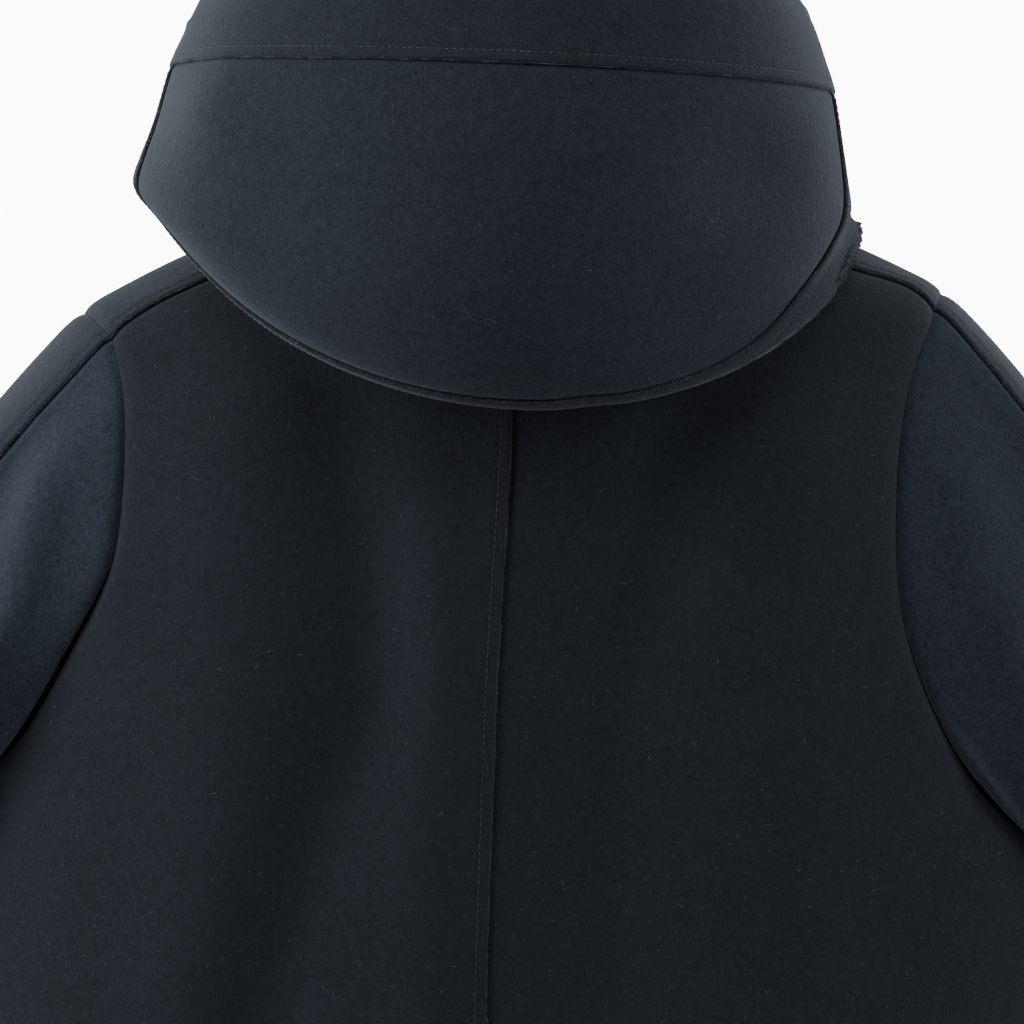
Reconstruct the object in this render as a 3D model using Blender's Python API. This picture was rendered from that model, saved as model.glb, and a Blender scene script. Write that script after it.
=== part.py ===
"""Hooded coat in thick double-faced wool, as worn on a hollow figure, with the hood down.

Metres, +Z up. The front faces -Y and the wearer's left is +X. The origin lies between
the shoulders, level with the place where they meet the neck.
"""

import functools

import bmesh
import bpy
import numpy as np

COLLECTION = "hooded_coat"

# Cloth and seams
WALL = 0.003              # thickness of the cloth
SEAM_INSET = 0.00015      # each edge of a butted seam stands back by this much
LAP_UNDER = 0.009         # how far the lower panel reaches under a raw edge
LAP_PRESS = 0.0105        # width over which the upper panel is pressed on the lower one
LAP_END = 0.014           # where the upper panel is back on the form
LAP_RISE = 0.0013         # height of a raw edge above the form
LAP_SINK = 0.0010         # depth of the lower panel just past a raw edge
HIDDEN_SINK = 0.0016      # depth of its hidden strip, whose cloth is pressed thinner
HIDDEN_WALL = 0.0014
LAP_WALL = 0.0018         # thickness of the cloth where it is pressed
DITCH_DEPTH = 0.002       # depth of the armhole seam
DITCH_WIDTH = 0.0105
SIDE_DITCH_DEPTH = 0.0006
UNDER_CLEAR = 0.0006      # the lower panel starts to rise this far from a raw edge
UNDER_RISE = 0.003        # and is back on the form here

# Body
HEM_Z = -0.865
TILT = 0.024              # the left shoulder hangs lower: drop for each metre of x
SPINE_Z = -0.20           # nets are settled on the form along rays from this height
FORM = (
    # z, half_width, back_depth, front_depth, power
    dict(z=0.060, half_width=0.020, back_depth=0.020, front_depth=0.018, power=2.00),
    dict(z=0.020, half_width=0.052, back_depth=0.046, front_depth=0.040, power=2.00),
    dict(z=0.000, half_width=0.085, back_depth=0.064, front_depth=0.050, power=2.00),
    dict(z=-0.012, half_width=0.112, back_depth=0.071, front_depth=0.056, power=2.00),
    dict(z=-0.031, half_width=0.160, back_depth=0.079, front_depth=0.065, power=2.00),
    dict(z=-0.045, half_width=0.189, back_depth=0.084, front_depth=0.071, power=2.02),
    dict(z=-0.055, half_width=0.207, back_depth=0.087, front_depth=0.075, power=2.05),
    dict(z=-0.075, half_width=0.228, back_depth=0.092, front_depth=0.081, power=2.10),
    dict(z=-0.130, half_width=0.246, back_depth=0.102, front_depth=0.094, power=2.15),
    dict(z=-0.200, half_width=0.259, back_depth=0.108, front_depth=0.105, power=2.20),
    dict(z=-0.310, half_width=0.271, back_depth=0.113, front_depth=0.111, power=2.20),
    dict(z=-0.450, half_width=0.286, back_depth=0.122, front_depth=0.118, power=2.20),
    dict(z=-0.650, half_width=0.308, back_depth=0.138, front_depth=0.130, power=2.15),
    dict(z=-0.865, half_width=0.332, back_depth=0.155, front_depth=0.145, power=2.10),
)
NECK_HALF_WIDTH = 0.085
NECK_BACK_Z = -0.020
NECK_FRONT_Z = -0.070
SEAM_AT_NECK = 0.37       # share of the half neckline, from the back, where the shoulder seam starts

# Shoulder seams behind the ridge of the shoulder, from the neck outward
SHOULDER_SEAM = {
    "left": (
        dict(x=0.1100, z=-0.0285),
        dict(x=0.1434, z=-0.0463),
        dict(x=0.1698, z=-0.0588),
        dict(x=0.1905, z=-0.0730),
    ),
    "right": (
        dict(x=-0.1150, z=-0.0225),
        dict(x=-0.1647, z=-0.0423),
        dict(x=-0.1884, z=-0.0495),
        dict(x=-0.2018, z=-0.0590),
    ),
}
# Where the armhole crosses the ridge of the shoulder
SHOULDER_POINT = {"left": dict(x=0.2058, z=-0.0608), "right": dict(x=-0.2077, z=-0.0507)}
ARMPIT_Z = {"left": -0.305, "right": -0.330}
BACK_ARMHOLE = {
    "left": (
        dict(x=0.1837, z=-0.1042),
        dict(x=0.1847, z=-0.1605),
        dict(x=0.1931, z=-0.1933),
        dict(x=0.2150, z=-0.2340),
        dict(x=0.2400, z=-0.2707),
    ),
    "right": (
        dict(x=-0.1889, z=-0.0949),
        dict(x=-0.1809, z=-0.1550),
        dict(x=-0.1842, z=-0.2074),
        dict(x=-0.2053, z=-0.2636),
        dict(x=-0.2400, z=-0.3058),
    ),
}
FRONT_ARMHOLE = (
    # drop below the shoulder point, as a share of the drop to the armpit
    dict(share=0.12, x=0.1960),
    dict(share=0.30, x=0.1830),
    dict(share=0.52, x=0.1800),
    dict(share=0.74, x=0.1950),
    dict(share=0.90, x=0.2300),
)
# The raw edge on the centre back runs a little to the wearer's left
CENTRE_BACK = (
    dict(z=0.0000, x=-0.0010),
    dict(z=-0.1085, x=0.0000),
    dict(z=-0.2440, x=0.0065),
    dict(z=-0.3940, x=0.0102),
    dict(z=-0.8650, x=0.0120),
)
FRONT_LAP = 0.030         # each front reaches this far past the centre
FRONT_RISE = 0.0036       # the right front stands this far out to lie on the left one
FRONT_RAMP = 0.022

# Rows of the body nets
SHOULDER_ROWS = 6
BACK_SPANS = 11           # spans of the net down an armhole
BODY_ROWS = 12
SHOULDER_ROW_BACK_Z = -0.112
SHOULDER_ROW_FRONT_Z = -0.130
BACK_COLUMNS = 9
FRONT_COLUMNS = 9
DENSE = 160               # points on a line of a net before it is shared out
PIT_ROW_Z = -0.325        # level at the centre of the row that ends at the armpit
ARMPIT_REACH = 0.27       # about how far out the armpits are
NECK_FALL = 1.6           # power of the neckline's fall from the shoulders to the centre
ROW_BOW_FADE = 1.5        # how fast the rows below the neck lose the neckline's bow
SETTLE_STEPS = 44         # halvings when a point is moved onto the form
SETTLE_SHARES = (0.05, 8.0)
PAST_STEPS = 12           # points on the part of a row past the centre front
RAMP_AWAY = 0.006         # the right front comes down this far past the left one's edge
STRIP_INSET = 0.0008      # the hidden strip's corner stands back from the armhole
DITCH_SHOULDER = 0.35     # share of the ditch's depth one column in from it
FOLD_FACING = 0.03        # folds fade out within this distance of the side seams

# ---- folds of the body

# Soft troughs (positive) and ridges (negative) of the body, as depths along a path
FOLDS = (
    dict(name="left blade trough", face=1, x=(0.080, 0.070, 0.066, 0.088, 0.113, 0.150),
         z=(-0.10, -0.165, -0.235, -0.300, -0.388, -0.600), depth=0.0055, width=0.026),
    dict(name="right blade trough", face=1, x=(-0.074, -0.066, -0.050, -0.043, -0.041, -0.060),
         z=(-0.10, -0.165, -0.220, -0.290, -0.383, -0.600), depth=0.0065, width=0.026),
    dict(name="left blade", face=1, x=(0.135, 0.132, 0.140, 0.160),
         z=(-0.10, -0.20, -0.32, -0.45), depth=-0.0050, width=0.034),
    dict(name="right blade", face=1, x=(-0.130, -0.128, -0.125, -0.130),
         z=(-0.10, -0.20, -0.32, -0.45), depth=-0.0050, width=0.036),
    dict(name="centre ridge", face=1, x=(0.036, 0.034, 0.038, 0.045),
         z=(-0.16, -0.24, -0.36, -0.60), depth=-0.0040, width=0.020),
    dict(name="left hem wave", face=1, x=(0.120, 0.140, 0.160),
         z=(-0.42, -0.65, -0.90), depth=0.0110, width=0.032),
    dict(name="right hem wave", face=1, x=(-0.070, -0.095, -0.120),
         z=(-0.42, -0.65, -0.90), depth=0.0120, width=0.034),
    dict(name="left side wave", face=1, x=(0.215, 0.235, 0.250),
         z=(-0.40, -0.65, -0.90), depth=-0.0080, width=0.034),
    dict(name="right side wave", face=1, x=(-0.190, -0.215, -0.235),
         z=(-0.40, -0.65, -0.90), depth=-0.0080, width=0.034),
    dict(name="left front trough", face=-1, x=(0.120, 0.135, 0.160),
         z=(-0.24, -0.50, -0.90), depth=0.0100, width=0.032),
    dict(name="right front trough", face=-1, x=(-0.125, -0.150, -0.180),
         z=(-0.22, -0.50, -0.90), depth=0.0110, width=0.034),
    dict(name="left front ridge", face=-1, x=(0.190, 0.215, 0.240),
         z=(-0.30, -0.55, -0.90), depth=-0.0080, width=0.032),
    dict(name="right front ridge", face=-1, x=(-0.205, -0.225, -0.245),
         z=(-0.32, -0.55, -0.90), depth=-0.0080, width=0.032),
)
FOLD_RUN_IN = 0.060       # a fold reaches its depth over this height

# ---- sleeves

# Rings of a left sleeve below the armpit: drop below the armpit, centre and half sizes
SLEEVE_RINGS = (
    dict(drop=0.036, x=0.3360, y=0.0000, half_width=0.0520, half_depth=0.0660),
    dict(drop=0.100, x=0.3550, y=0.0010, half_width=0.0500, half_depth=0.0630),
    dict(drop=0.160, x=0.3710, y=0.0000, half_width=0.0480, half_depth=0.0600),
    dict(drop=0.220, x=0.3890, y=-0.0060, half_width=0.0460, half_depth=0.0560),
    dict(drop=0.285, x=0.4080, y=-0.0160, half_width=0.0440, half_depth=0.0530),
)
SLEEVE_TOP_ANGLE = 0.36   # the outer seam sits this far behind the outermost line, in radians
CAP_ROWS = 7              # rows of the net from the armhole to the first ring
ARM_ROWS = 8
CAP_BREAK = 0.42          # how much of the turn down over the shoulder is made at the seam
CAP_BREAK_LIMIT = {"left": -0.25, "right": -0.12}    # radians: the right cap is the fuller
CAP_PULL = (0.80, 0.90)   # length of the loft's tangents at the armhole and at the first ring
UNDERARM_COLUMNS = 4      # columns on each side of the armpit that are held off the body
UNDERARM_GAP = 0.007
UNDERARM_SPREAD = 0.40    # how fast the sleeve leaves the body below the armhole
SLEEVE_FOLDS = (
    dict(name="cap fold", side="left", face=1, x=(0.200, 0.222, 0.232, 0.262, 0.300),
         z=(-0.110, -0.150, -0.195, -0.250, -0.310), depth=-0.0030, width=0.011),
    dict(name="cap hollow", side="left", face=1, x=(0.232, 0.246, 0.262, 0.290, 0.320),
         z=(-0.110, -0.150, -0.195, -0.250, -0.310), depth=0.0035, width=0.012),
    dict(name="cap fold", side="right", face=1, x=(-0.206, -0.214, -0.232, -0.262, -0.300),
         z=(-0.110, -0.160, -0.215, -0.280, -0.340), depth=-0.0030, width=0.013),
    dict(name="cap hollow", side="right", face=1, x=(-0.238, -0.246, -0.262, -0.290, -0.325),
         z=(-0.110, -0.160, -0.215, -0.280, -0.340), depth=0.0030, width=0.013),
)
SLEEVE_FOLD_RUN_IN = 0.05
LOWEST_RISE = 0.004       # a sleeve that lies inside the armhole's edge still leaves it upward

# ---- hood

# Rings of the hood from the rim of the face opening (0) to the neck (1); turn 0 is the
# centre back, the side is a quarter turn on, and fall is the power of the height's change
HOOD_RINGS = (
    dict(w=0.00, wide=0.1128, y_side=0.002, y_back=0.106, y_front=-0.100,
         z_back=0.140, z_side=0.1120, z_front=-0.030, fall=1.80, shift=0.0060),
    dict(w=0.07, wide=0.1399, y_side=0.006, y_back=0.136, y_front=-0.108,
         z_back=0.122, z_side=0.0940, z_front=-0.034, fall=1.80, shift=0.0023),
    dict(w=0.22, wide=0.1583, y_side=0.012, y_back=0.158, y_front=-0.110,
         z_back=0.049, z_side=0.0495, z_front=-0.044, fall=1.80, shift=0.0046),
    dict(w=0.34, wide=0.1644, y_side=0.014, y_back=0.167, y_front=-0.106,
         z_back=0.004, z_side=0.0234, z_front=-0.050, fall=1.60, shift=0.0063),
    dict(w=0.48, wide=0.1715, y_side=0.016, y_back=0.166, y_front=-0.101,
         z_back=-0.054, z_side=-0.0037, z_front=-0.056, fall=1.31, shift=0.0094),
    dict(w=0.58, wide=0.1665, y_side=0.016, y_back=0.153, y_front=-0.097,
         z_back=-0.092, z_side=-0.0084, z_front=-0.061, fall=1.25, shift=0.0050),
    dict(w=0.64, wide=0.1630, y_side=0.014, y_back=0.137, y_front=-0.094,
         z_back=-0.109, z_side=-0.0150, z_front=-0.063, fall=1.20, shift=-0.0045),
    dict(w=0.72, wide=0.1442, y_side=0.010, y_back=0.118, y_front=-0.091,
         z_back=-0.096, z_side=-0.0063, z_front=-0.065, fall=1.30, shift=0.0020),
    dict(w=0.85, wide=0.1130, y_side=0.005, y_back=0.097, y_front=-0.088,
         z_back=-0.060, z_side=-0.0010, z_front=-0.066, fall=1.50, shift=0.0060),
    dict(w=1.00, wide=0.0850, y_side=0.000, y_back=0.076, y_front=-0.086,
         z_back=-0.019, z_side=0.0010, z_front=-0.068, fall=1.60, shift=0.0060),
)
BAND_W = 0.22             # the band's seam
FOLD_W = 0.62             # the lowest line, where the crown's seam crosses the centre back
NECK_BLEND_W = 0.70
HOOD_TILT = 0.040         # the hood stands higher on the wearer's left
# How far the hood's neck edge lies off the body's: it rides over the seams it crosses
NECK_LIFTS = (
    dict(turn=-3.20, lift=0.0046),
    dict(turn=-2.45, lift=0.0046),
    dict(turn=-2.20, lift=0.0008),
    dict(turn=-1.65, lift=0.0008),
    dict(turn=-1.50, lift=0.0022),
    dict(turn=-1.15, lift=0.0022),
    dict(turn=-1.00, lift=0.0008),
    dict(turn=-0.20, lift=0.0008),
    dict(turn=-0.05, lift=0.0022),
    dict(turn=0.20, lift=0.0022),
    dict(turn=0.35, lift=0.0008),
    dict(turn=1.00, lift=0.0008),
    dict(turn=1.15, lift=0.0022),
    dict(turn=1.50, lift=0.0022),
    dict(turn=1.65, lift=0.0008),
    dict(turn=2.50, lift=0.0008),
    dict(turn=2.68, lift=0.0046),
    dict(turn=3.20, lift=0.0046),
)
NECK_CLEAR_SHARE = 0.2
CROWN_TURN = 1.40         # the crown's corners, in radians from the centre back
CROWN_SQUARE = {"left": 5.0, "right": 3.6}    # how square the crown's U is: 2 is an ellipse
FRONT_TURN = 2.90         # the hood's front ends
NECK_TURN = 1.90          # the crown's corners run down to the neck at this turn
CROWN_COLUMNS = 14
CROWN_ROWS = 7
HOOD_FRONT_COLUMNS = 6
SIDE_ROWS = 6
BAND_ROWS = 3
CORNER_FREE = 2           # columns and rows of the crown with no hidden strip at its corners
HOOD_CLEAR = 0.0045
HOOD_DENTS = (
    dict(turn=-0.80, w=0.36, depth=0.0070, spread_turn=0.26, spread_w=0.075),
    dict(turn=0.62, w=0.45, depth=0.0035, spread_turn=0.22, spread_w=0.090),
    dict(turn=0.95, w=0.30, depth=-0.0040, spread_turn=0.20, spread_w=0.090),
    dict(turn=-0.10, w=0.42, depth=-0.0040, spread_turn=0.35, spread_w=0.090),
    dict(turn=-0.20, w=0.62, depth=0.0015, spread_turn=0.07, spread_w=0.030),
)

# ---- buttons and colours

BUTTON_LEVELS = (-0.105, -0.215, -0.325, -0.435, -0.545)
BUTTON_RADIUS = 0.014
BUTTON_THICK = 0.0036
BUTTON_DISH_RADIUS = 0.0095
BUTTON_DISH = 0.0010
BUTTON_HOLE_RADIUS = 0.0011
BUTTON_HOLE_OFFSET = 0.0021
BUTTON_STAND = 0.0008     # gap between a button and the cloth behind it
BUTTON_SIDES = 28
WOOL_COLOUR = (0.012, 0.016, 0.024, 1.0)
HORN_COLOUR = (0.010, 0.011, 0.014, 1.0)




# ---------------------------------------------------------------- curves

def smooth(table, key, column, at):
    """Value of a table's column at the given keys, on a curve that never overshoots."""
    rows = sorted(table, key=lambda row: row[key])
    xs = np.array([row[key] for row in rows])
    ys = np.array([row[column] for row in rows])
    gaps = np.diff(xs)
    slopes = np.diff(ys) / gaps
    tangents = np.empty_like(ys)
    tangents[0] = slopes[0]
    tangents[-1] = slopes[-1]
    product = slopes[:-1] * slopes[1:]
    total = slopes[:-1] + slopes[1:]
    safe = np.where(np.abs(total) < 1e-12, 1.0, total)
    tangents[1:-1] = np.where(product > 0, 2.0 * product / safe, 0.0)
    at = np.asarray(at, dtype=float)
    held = np.clip(at, xs[0], xs[-1])
    span = np.clip(np.searchsorted(xs, held, side="right") - 1, 0, len(gaps) - 1)
    t = (held - xs[span]) / gaps[span]
    low = ys[span] * (1 + 2 * t) * (1 - t) ** 2 + gaps[span] * tangents[span] * t * (1 - t) ** 2
    high = ys[span + 1] * t * t * (3 - 2 * t) - gaps[span] * tangents[span + 1] * t * t * (1 - t)
    beyond = (at - held) * np.where(at < xs[0], tangents[0], tangents[-1])
    return low + high + beyond


def unit(vectors):
    lengths = np.linalg.norm(vectors, axis=-1, keepdims=True)
    return vectors / np.maximum(lengths, 1e-12)


def lengths_along(points):
    steps = np.linalg.norm(np.diff(points, axis=0), axis=1)
    return np.concatenate([[0.0], np.cumsum(steps)])


def at_lengths(points, distances):
    """Points at the given distances along a line, straight on past its ends."""
    run = lengths_along(points)
    distances = np.asarray(distances, dtype=float)
    held = np.clip(distances, 0.0, run[-1])
    found = np.stack([np.interp(held, run, points[:, axis]) for axis in range(3)], axis=1)
    start = unit(points[1] - points[0])
    end = unit(points[-1] - points[-2])
    found += np.minimum(distances, 0.0)[:, None] * start
    found += np.maximum(distances - run[-1], 0.0)[:, None] * end
    return found


def curve_through(points, count=DENSE):
    """A natural cubic curve through the points, as a dense line."""
    points = np.asarray(points, dtype=float)
    keys = np.sqrt(np.linalg.norm(np.diff(points, axis=0), axis=1))
    keys = np.concatenate([[0.0], np.cumsum(keys)])
    gaps = np.diff(keys)
    size = len(points)
    matrix = np.eye(size)
    right = np.zeros((size, 3))
    slopes = np.diff(points, axis=0) / gaps[:, None]
    for i in range(1, size - 1):
        matrix[i, i - 1:i + 2] = (gaps[i - 1], 2 * (gaps[i - 1] + gaps[i]), gaps[i])
        right[i] = 6 * (slopes[i] - slopes[i - 1])
    bends = np.linalg.solve(matrix, right)
    at = np.linspace(0.0, keys[-1], count)
    span = np.clip(np.searchsorted(keys, at, side="right") - 1, 0, size - 2)
    a = ((keys[span + 1] - at) / gaps[span])[:, None]
    b = 1 - a
    square = (gaps[span] ** 2)[:, None] / 6
    line = a * points[span] + b * points[span + 1]
    return line + square * ((a ** 3 - a) * bends[span] + (b ** 3 - b) * bends[span + 1])


# ---------------------------------------------------------------- the body's form

def form_value(points):
    """Below zero inside the body's form, zero on it."""
    x, y, z = points[..., 0], points[..., 1], points[..., 2]
    level = z + TILT * x
    wide = np.maximum(smooth(FORM, "z", "half_width", level), 0.004)
    back = smooth(FORM, "z", "back_depth", level)
    front = smooth(FORM, "z", "front_depth", level)
    deep = np.maximum(np.where(y >= 0, back, front), 0.004)
    power = smooth(FORM, "z", "power", level)
    return np.abs(x / wide) ** power + np.abs(y / deep) ** power - 1.0


def form_normal(points):
    step = 0.0005
    gradient = np.empty_like(points)
    for axis in range(3):
        shift = np.zeros(3)
        shift[axis] = step
        gradient[..., axis] = form_value(points + shift) - form_value(points - shift)
    return unit(gradient)


def settle(points):
    """Move points onto the form along rays from the spine."""
    points = np.asarray(points, dtype=float)
    centre = np.zeros_like(points)
    centre[..., 2] = np.minimum(points[..., 2], SPINE_Z)
    ray = points - centre
    low = np.full(points.shape[:-1], SETTLE_SHARES[0])
    high = np.full(points.shape[:-1], SETTLE_SHARES[1])
    for _ in range(SETTLE_STEPS):
        middle = (low + high) / 2
        outside = form_value(centre + ray * middle[..., None]) > 0
        high = np.where(outside, middle, high)
        low = np.where(outside, low, middle)
    return centre + ray * ((low + high) / 2)[..., None]


def on_form(x, z, face):
    """The point of the form at x and z: face is 1 on the back and -1 on the front."""
    level = z + TILT * x
    power = float(smooth(FORM, "z", "power", level))
    wide = float(smooth(FORM, "z", "half_width", level))
    column = "back_depth" if face > 0 else "front_depth"
    deep = float(smooth(FORM, "z", column, level))
    share = max(0.0, 1.0 - abs(x / wide) ** power)
    return np.array([x, face * deep * share ** (1.0 / power), z])


# ---------------------------------------------------------------- edges of the body panels

def sign(side):
    return 1.0 if side == "left" else -1.0


@functools.cache
def neckline(side):
    """Half of the neck edge, from the centre back to the centre front."""
    points = []
    for turn in np.linspace(0.0, np.pi, DENSE):
        face = 1 if turn < np.pi / 2 else -1
        x = sign(side) * NECK_HALF_WIDTH * np.sin(turn)
        fall = NECK_BACK_Z if face > 0 else NECK_FRONT_Z
        z = fall * abs(np.cos(turn)) ** NECK_FALL - TILT * x
        points.append(on_form(x, z, face))
    return np.array(points)


def neck_parts(side):
    """The neck edge of the back and of the front, parted at the shoulder seam."""
    line = neckline(side)
    total = lengths_along(line)[-1]
    cut = total * SEAM_AT_NECK
    back = at_lengths(line, np.linspace(0.0, cut, DENSE))
    front = at_lengths(line, np.linspace(cut, total, DENSE))
    return back, front


@functools.cache
def shoulder_seam(side):
    start = neck_parts(side)[0][-1]
    points = [start] + [on_form(row["x"], row["z"], 1) for row in SHOULDER_SEAM[side]]
    return settle(curve_through(points))


def armpit(side):
    z = ARMPIT_Z[side]
    wide = float(smooth(FORM, "z", "half_width", z + TILT * sign(side) * ARMPIT_REACH))
    return np.array([sign(side) * wide, 0.0, z])


@functools.cache
def back_armhole(side):
    points = [shoulder_seam(side)[-1]]
    points += [on_form(row["x"], row["z"], 1) for row in BACK_ARMHOLE[side]]
    return settle(curve_through(points + [armpit(side)]))


@functools.cache
def front_armhole(side):
    top = SHOULDER_POINT[side]
    drop = top["z"] - ARMPIT_Z[side]
    points = [shoulder_seam(side)[-1], np.array([top["x"], 0.0, top["z"]])]
    for row in FRONT_ARMHOLE:
        points.append(on_form(sign(side) * row["x"], top["z"] - drop * row["share"], -1))
    return settle(curve_through(points + [armpit(side)]))


def armhole_steps(line, first):
    """Distances of the rows down an armhole: some near the shoulder seam, the rest even."""
    total = lengths_along(line)[-1]
    count = BACK_SPANS - len(first) + 1
    return np.concatenate([first[:-1], np.linspace(first[-1], total, count + 1)])


def armhole_rows(side, face):
    line = back_armhole(side) if face > 0 else front_armhole(side)
    first = [0.0, 0.024] if face > 0 else [0.0, LAP_PRESS, 0.024]
    return at_lengths(line, armhole_steps(line, first))


def side_rows(side):
    """Points down the side from the armpit to the hem."""
    levels = np.linspace(ARMPIT_Z[side], HEM_Z, BODY_ROWS + 1)[1:]
    points = np.stack([np.full_like(levels, sign(side)), 0 * levels, levels], axis=1)
    return settle(points)


def outer_edge(side, face):
    """Shoulder seam, armhole and side of one panel, a point for each row of its net."""
    seam = shoulder_seam(side)
    shoulder = at_lengths(seam, np.linspace(0, lengths_along(seam)[-1], SHOULDER_ROWS + 1))
    return np.concatenate([shoulder[:-1], armhole_rows(side, face), side_rows(side)])


def centre_levels(top, shoulder, pit):
    upper = np.linspace(top, shoulder, SHOULDER_ROWS + 1)
    middle = np.linspace(shoulder, pit, BACK_SPANS + 1)
    lower = np.linspace(pit, HEM_Z, BODY_ROWS + 1)
    return np.concatenate([upper[:-1], middle[:-1], lower])


def centre_back_edge():
    levels = centre_levels(NECK_BACK_Z, SHOULDER_ROW_BACK_Z, PIT_ROW_Z)
    x = smooth(CENTRE_BACK, "z", "x", levels)
    return settle(np.stack([x, np.full_like(x, 0.1), levels], axis=1))


def centre_front_edge():
    levels = centre_levels(NECK_FRONT_Z, SHOULDER_ROW_FRONT_Z, PIT_ROW_Z)
    return settle(np.stack([0 * levels, np.full_like(levels, -0.1), levels], axis=1))


@functools.cache
def row_lines(side, face):
    """The rows of a panel's net as dense lines on the form, from the centre outward."""
    outer = outer_edge(side, face)
    centre = centre_back_edge() if face > 0 else centre_front_edge()
    neck = neck_parts(side)[0] if face > 0 else neck_parts(side)[1][::-1]
    share = np.linspace(0.0, 1.0, DENSE)[:, None]
    bow = neck - (centre[0] + share * (neck[-1] - centre[0]))
    lines = []
    for row in range(len(outer)):
        line = centre[row] + share * (outer[row] - centre[row])
        fade = max(0.0, 1.0 - row / SHOULDER_ROWS) ** ROW_BOW_FADE
        lines.append(settle(line + fade * bow))
    return lines


# ---------------------------------------------------------------- folds

def fold_depth(points):
    """How far the form is pushed in at each point."""
    x, y, z = points[..., 0], points[..., 1], points[..., 2]
    total = np.zeros(x.shape)
    for fold in FOLDS:
        path = [dict(z=level, x=place) for level, place in zip(fold["z"], fold["x"])]
        middle = smooth(path, "z", "x", z)
        across = np.exp(-((x - middle) / fold["width"]) ** 2)
        top, foot = max(fold["z"]), min(fold["z"])
        start = np.clip((top + FOLD_RUN_IN / 2 - z) / FOLD_RUN_IN, 0.0, 1.0)
        end = np.clip((z - foot + FOLD_RUN_IN / 2) / FOLD_RUN_IN, 0.0, 1.0)
        along = (start * start * (3 - 2 * start)) * (end * end * (3 - 2 * end))
        facing = np.clip(y * fold["face"] / FOLD_FACING, 0.0, 1.0)
        total += fold["depth"] * across * along * facing
    return total


# ---------------------------------------------------------------- nets and walls

class Net:
    """A grid of points on the outer face of a panel, with the way through its wall."""

    def __init__(self, base, way):
        shape = base.shape[:2]
        self.base = base
        self.way = way
        self.rise = np.zeros(shape)
        self.wall = np.full(shape, WALL)
        self.present = np.ones((shape[0] - 1, shape[1] - 1), dtype=bool)

    def outer(self):
        return self.base + self.way * self.rise[..., None]

    def inner(self):
        return self.base + self.way * (self.rise - self.wall)[..., None]

    def press_over(self, rows, columns):
        """Press the wall where it ends in a raw edge on another panel."""
        self.rise[rows, columns] = LAP_RISE
        self.wall[rows, columns] = LAP_WALL

    def press_under(self, rows, edge, hidden):
        """Press the wall at its edge under another panel, and its hidden strip."""
        self.rise[rows, edge] = -LAP_SINK
        self.wall[rows, edge] = WALL - LAP_SINK
        self.rise[rows, hidden] = -HIDDEN_SINK
        self.wall[rows, hidden] = HIDDEN_WALL


def add_object(name, mesh, material):
    thing = bpy.data.objects.new(name, mesh)
    thing.data.materials.append(material)
    bpy.data.collections[COLLECTION].objects.link(thing)
    return thing


def wall_object(name, net, material, flip):
    """A closed wall between the outer and inner points of a net, with rims round its edges."""
    outer = net.outer()
    inner = net.inner()
    used = np.zeros(outer.shape[:2], dtype=bool)
    for shift_row in (0, 1):
        for shift_column in (0, 1):
            rows, columns = net.present.shape
            block = used[shift_row:rows + shift_row, shift_column:columns + shift_column]
            block |= net.present
    mesh_maker = bmesh.new()
    front = {}
    back = {}
    for row, column in zip(*np.nonzero(used)):
        front[row, column] = mesh_maker.verts.new(outer[row, column])
        back[row, column] = mesh_maker.verts.new(inner[row, column])
    edges = {}
    for row, column in zip(*np.nonzero(net.present)):
        ring = [(row, column), (row, column + 1), (row + 1, column + 1), (row + 1, column)]
        if flip:
            ring.reverse()
        mesh_maker.faces.new([front[corner] for corner in ring])
        mesh_maker.faces.new([back[corner] for corner in reversed(ring)])
        for start, end in zip(ring, ring[1:] + ring[:1]):
            if (end, start) in edges:
                del edges[end, start]
            else:
                edges[start, end] = True
    for start, end in edges:
        mesh_maker.faces.new([front[end], front[start], back[start], back[end]])
    bmesh.ops.recalc_face_normals(mesh_maker, faces=mesh_maker.faces[:])
    bmesh.ops.triangulate(mesh_maker, faces=mesh_maker.faces[:])
    mesh = bpy.data.meshes.new(name)
    mesh_maker.to_mesh(mesh)
    mesh_maker.free()
    return add_object(name, mesh, material)


# ---------------------------------------------------------------- body panels

def shared_columns(length, start, end, count):
    """Distances across a panel: its start and end columns, the rest even between them."""
    start = np.array(start)
    end = length - np.array(end)
    middle = np.linspace(start[-1], end[0], count + 2)[1:-1]
    return np.concatenate([start, middle, end])


def folded(points):
    way = form_normal(points)
    return points - way * fold_depth(points)[..., None], way


def seam_row(row):
    return row <= SHOULDER_ROWS


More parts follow.
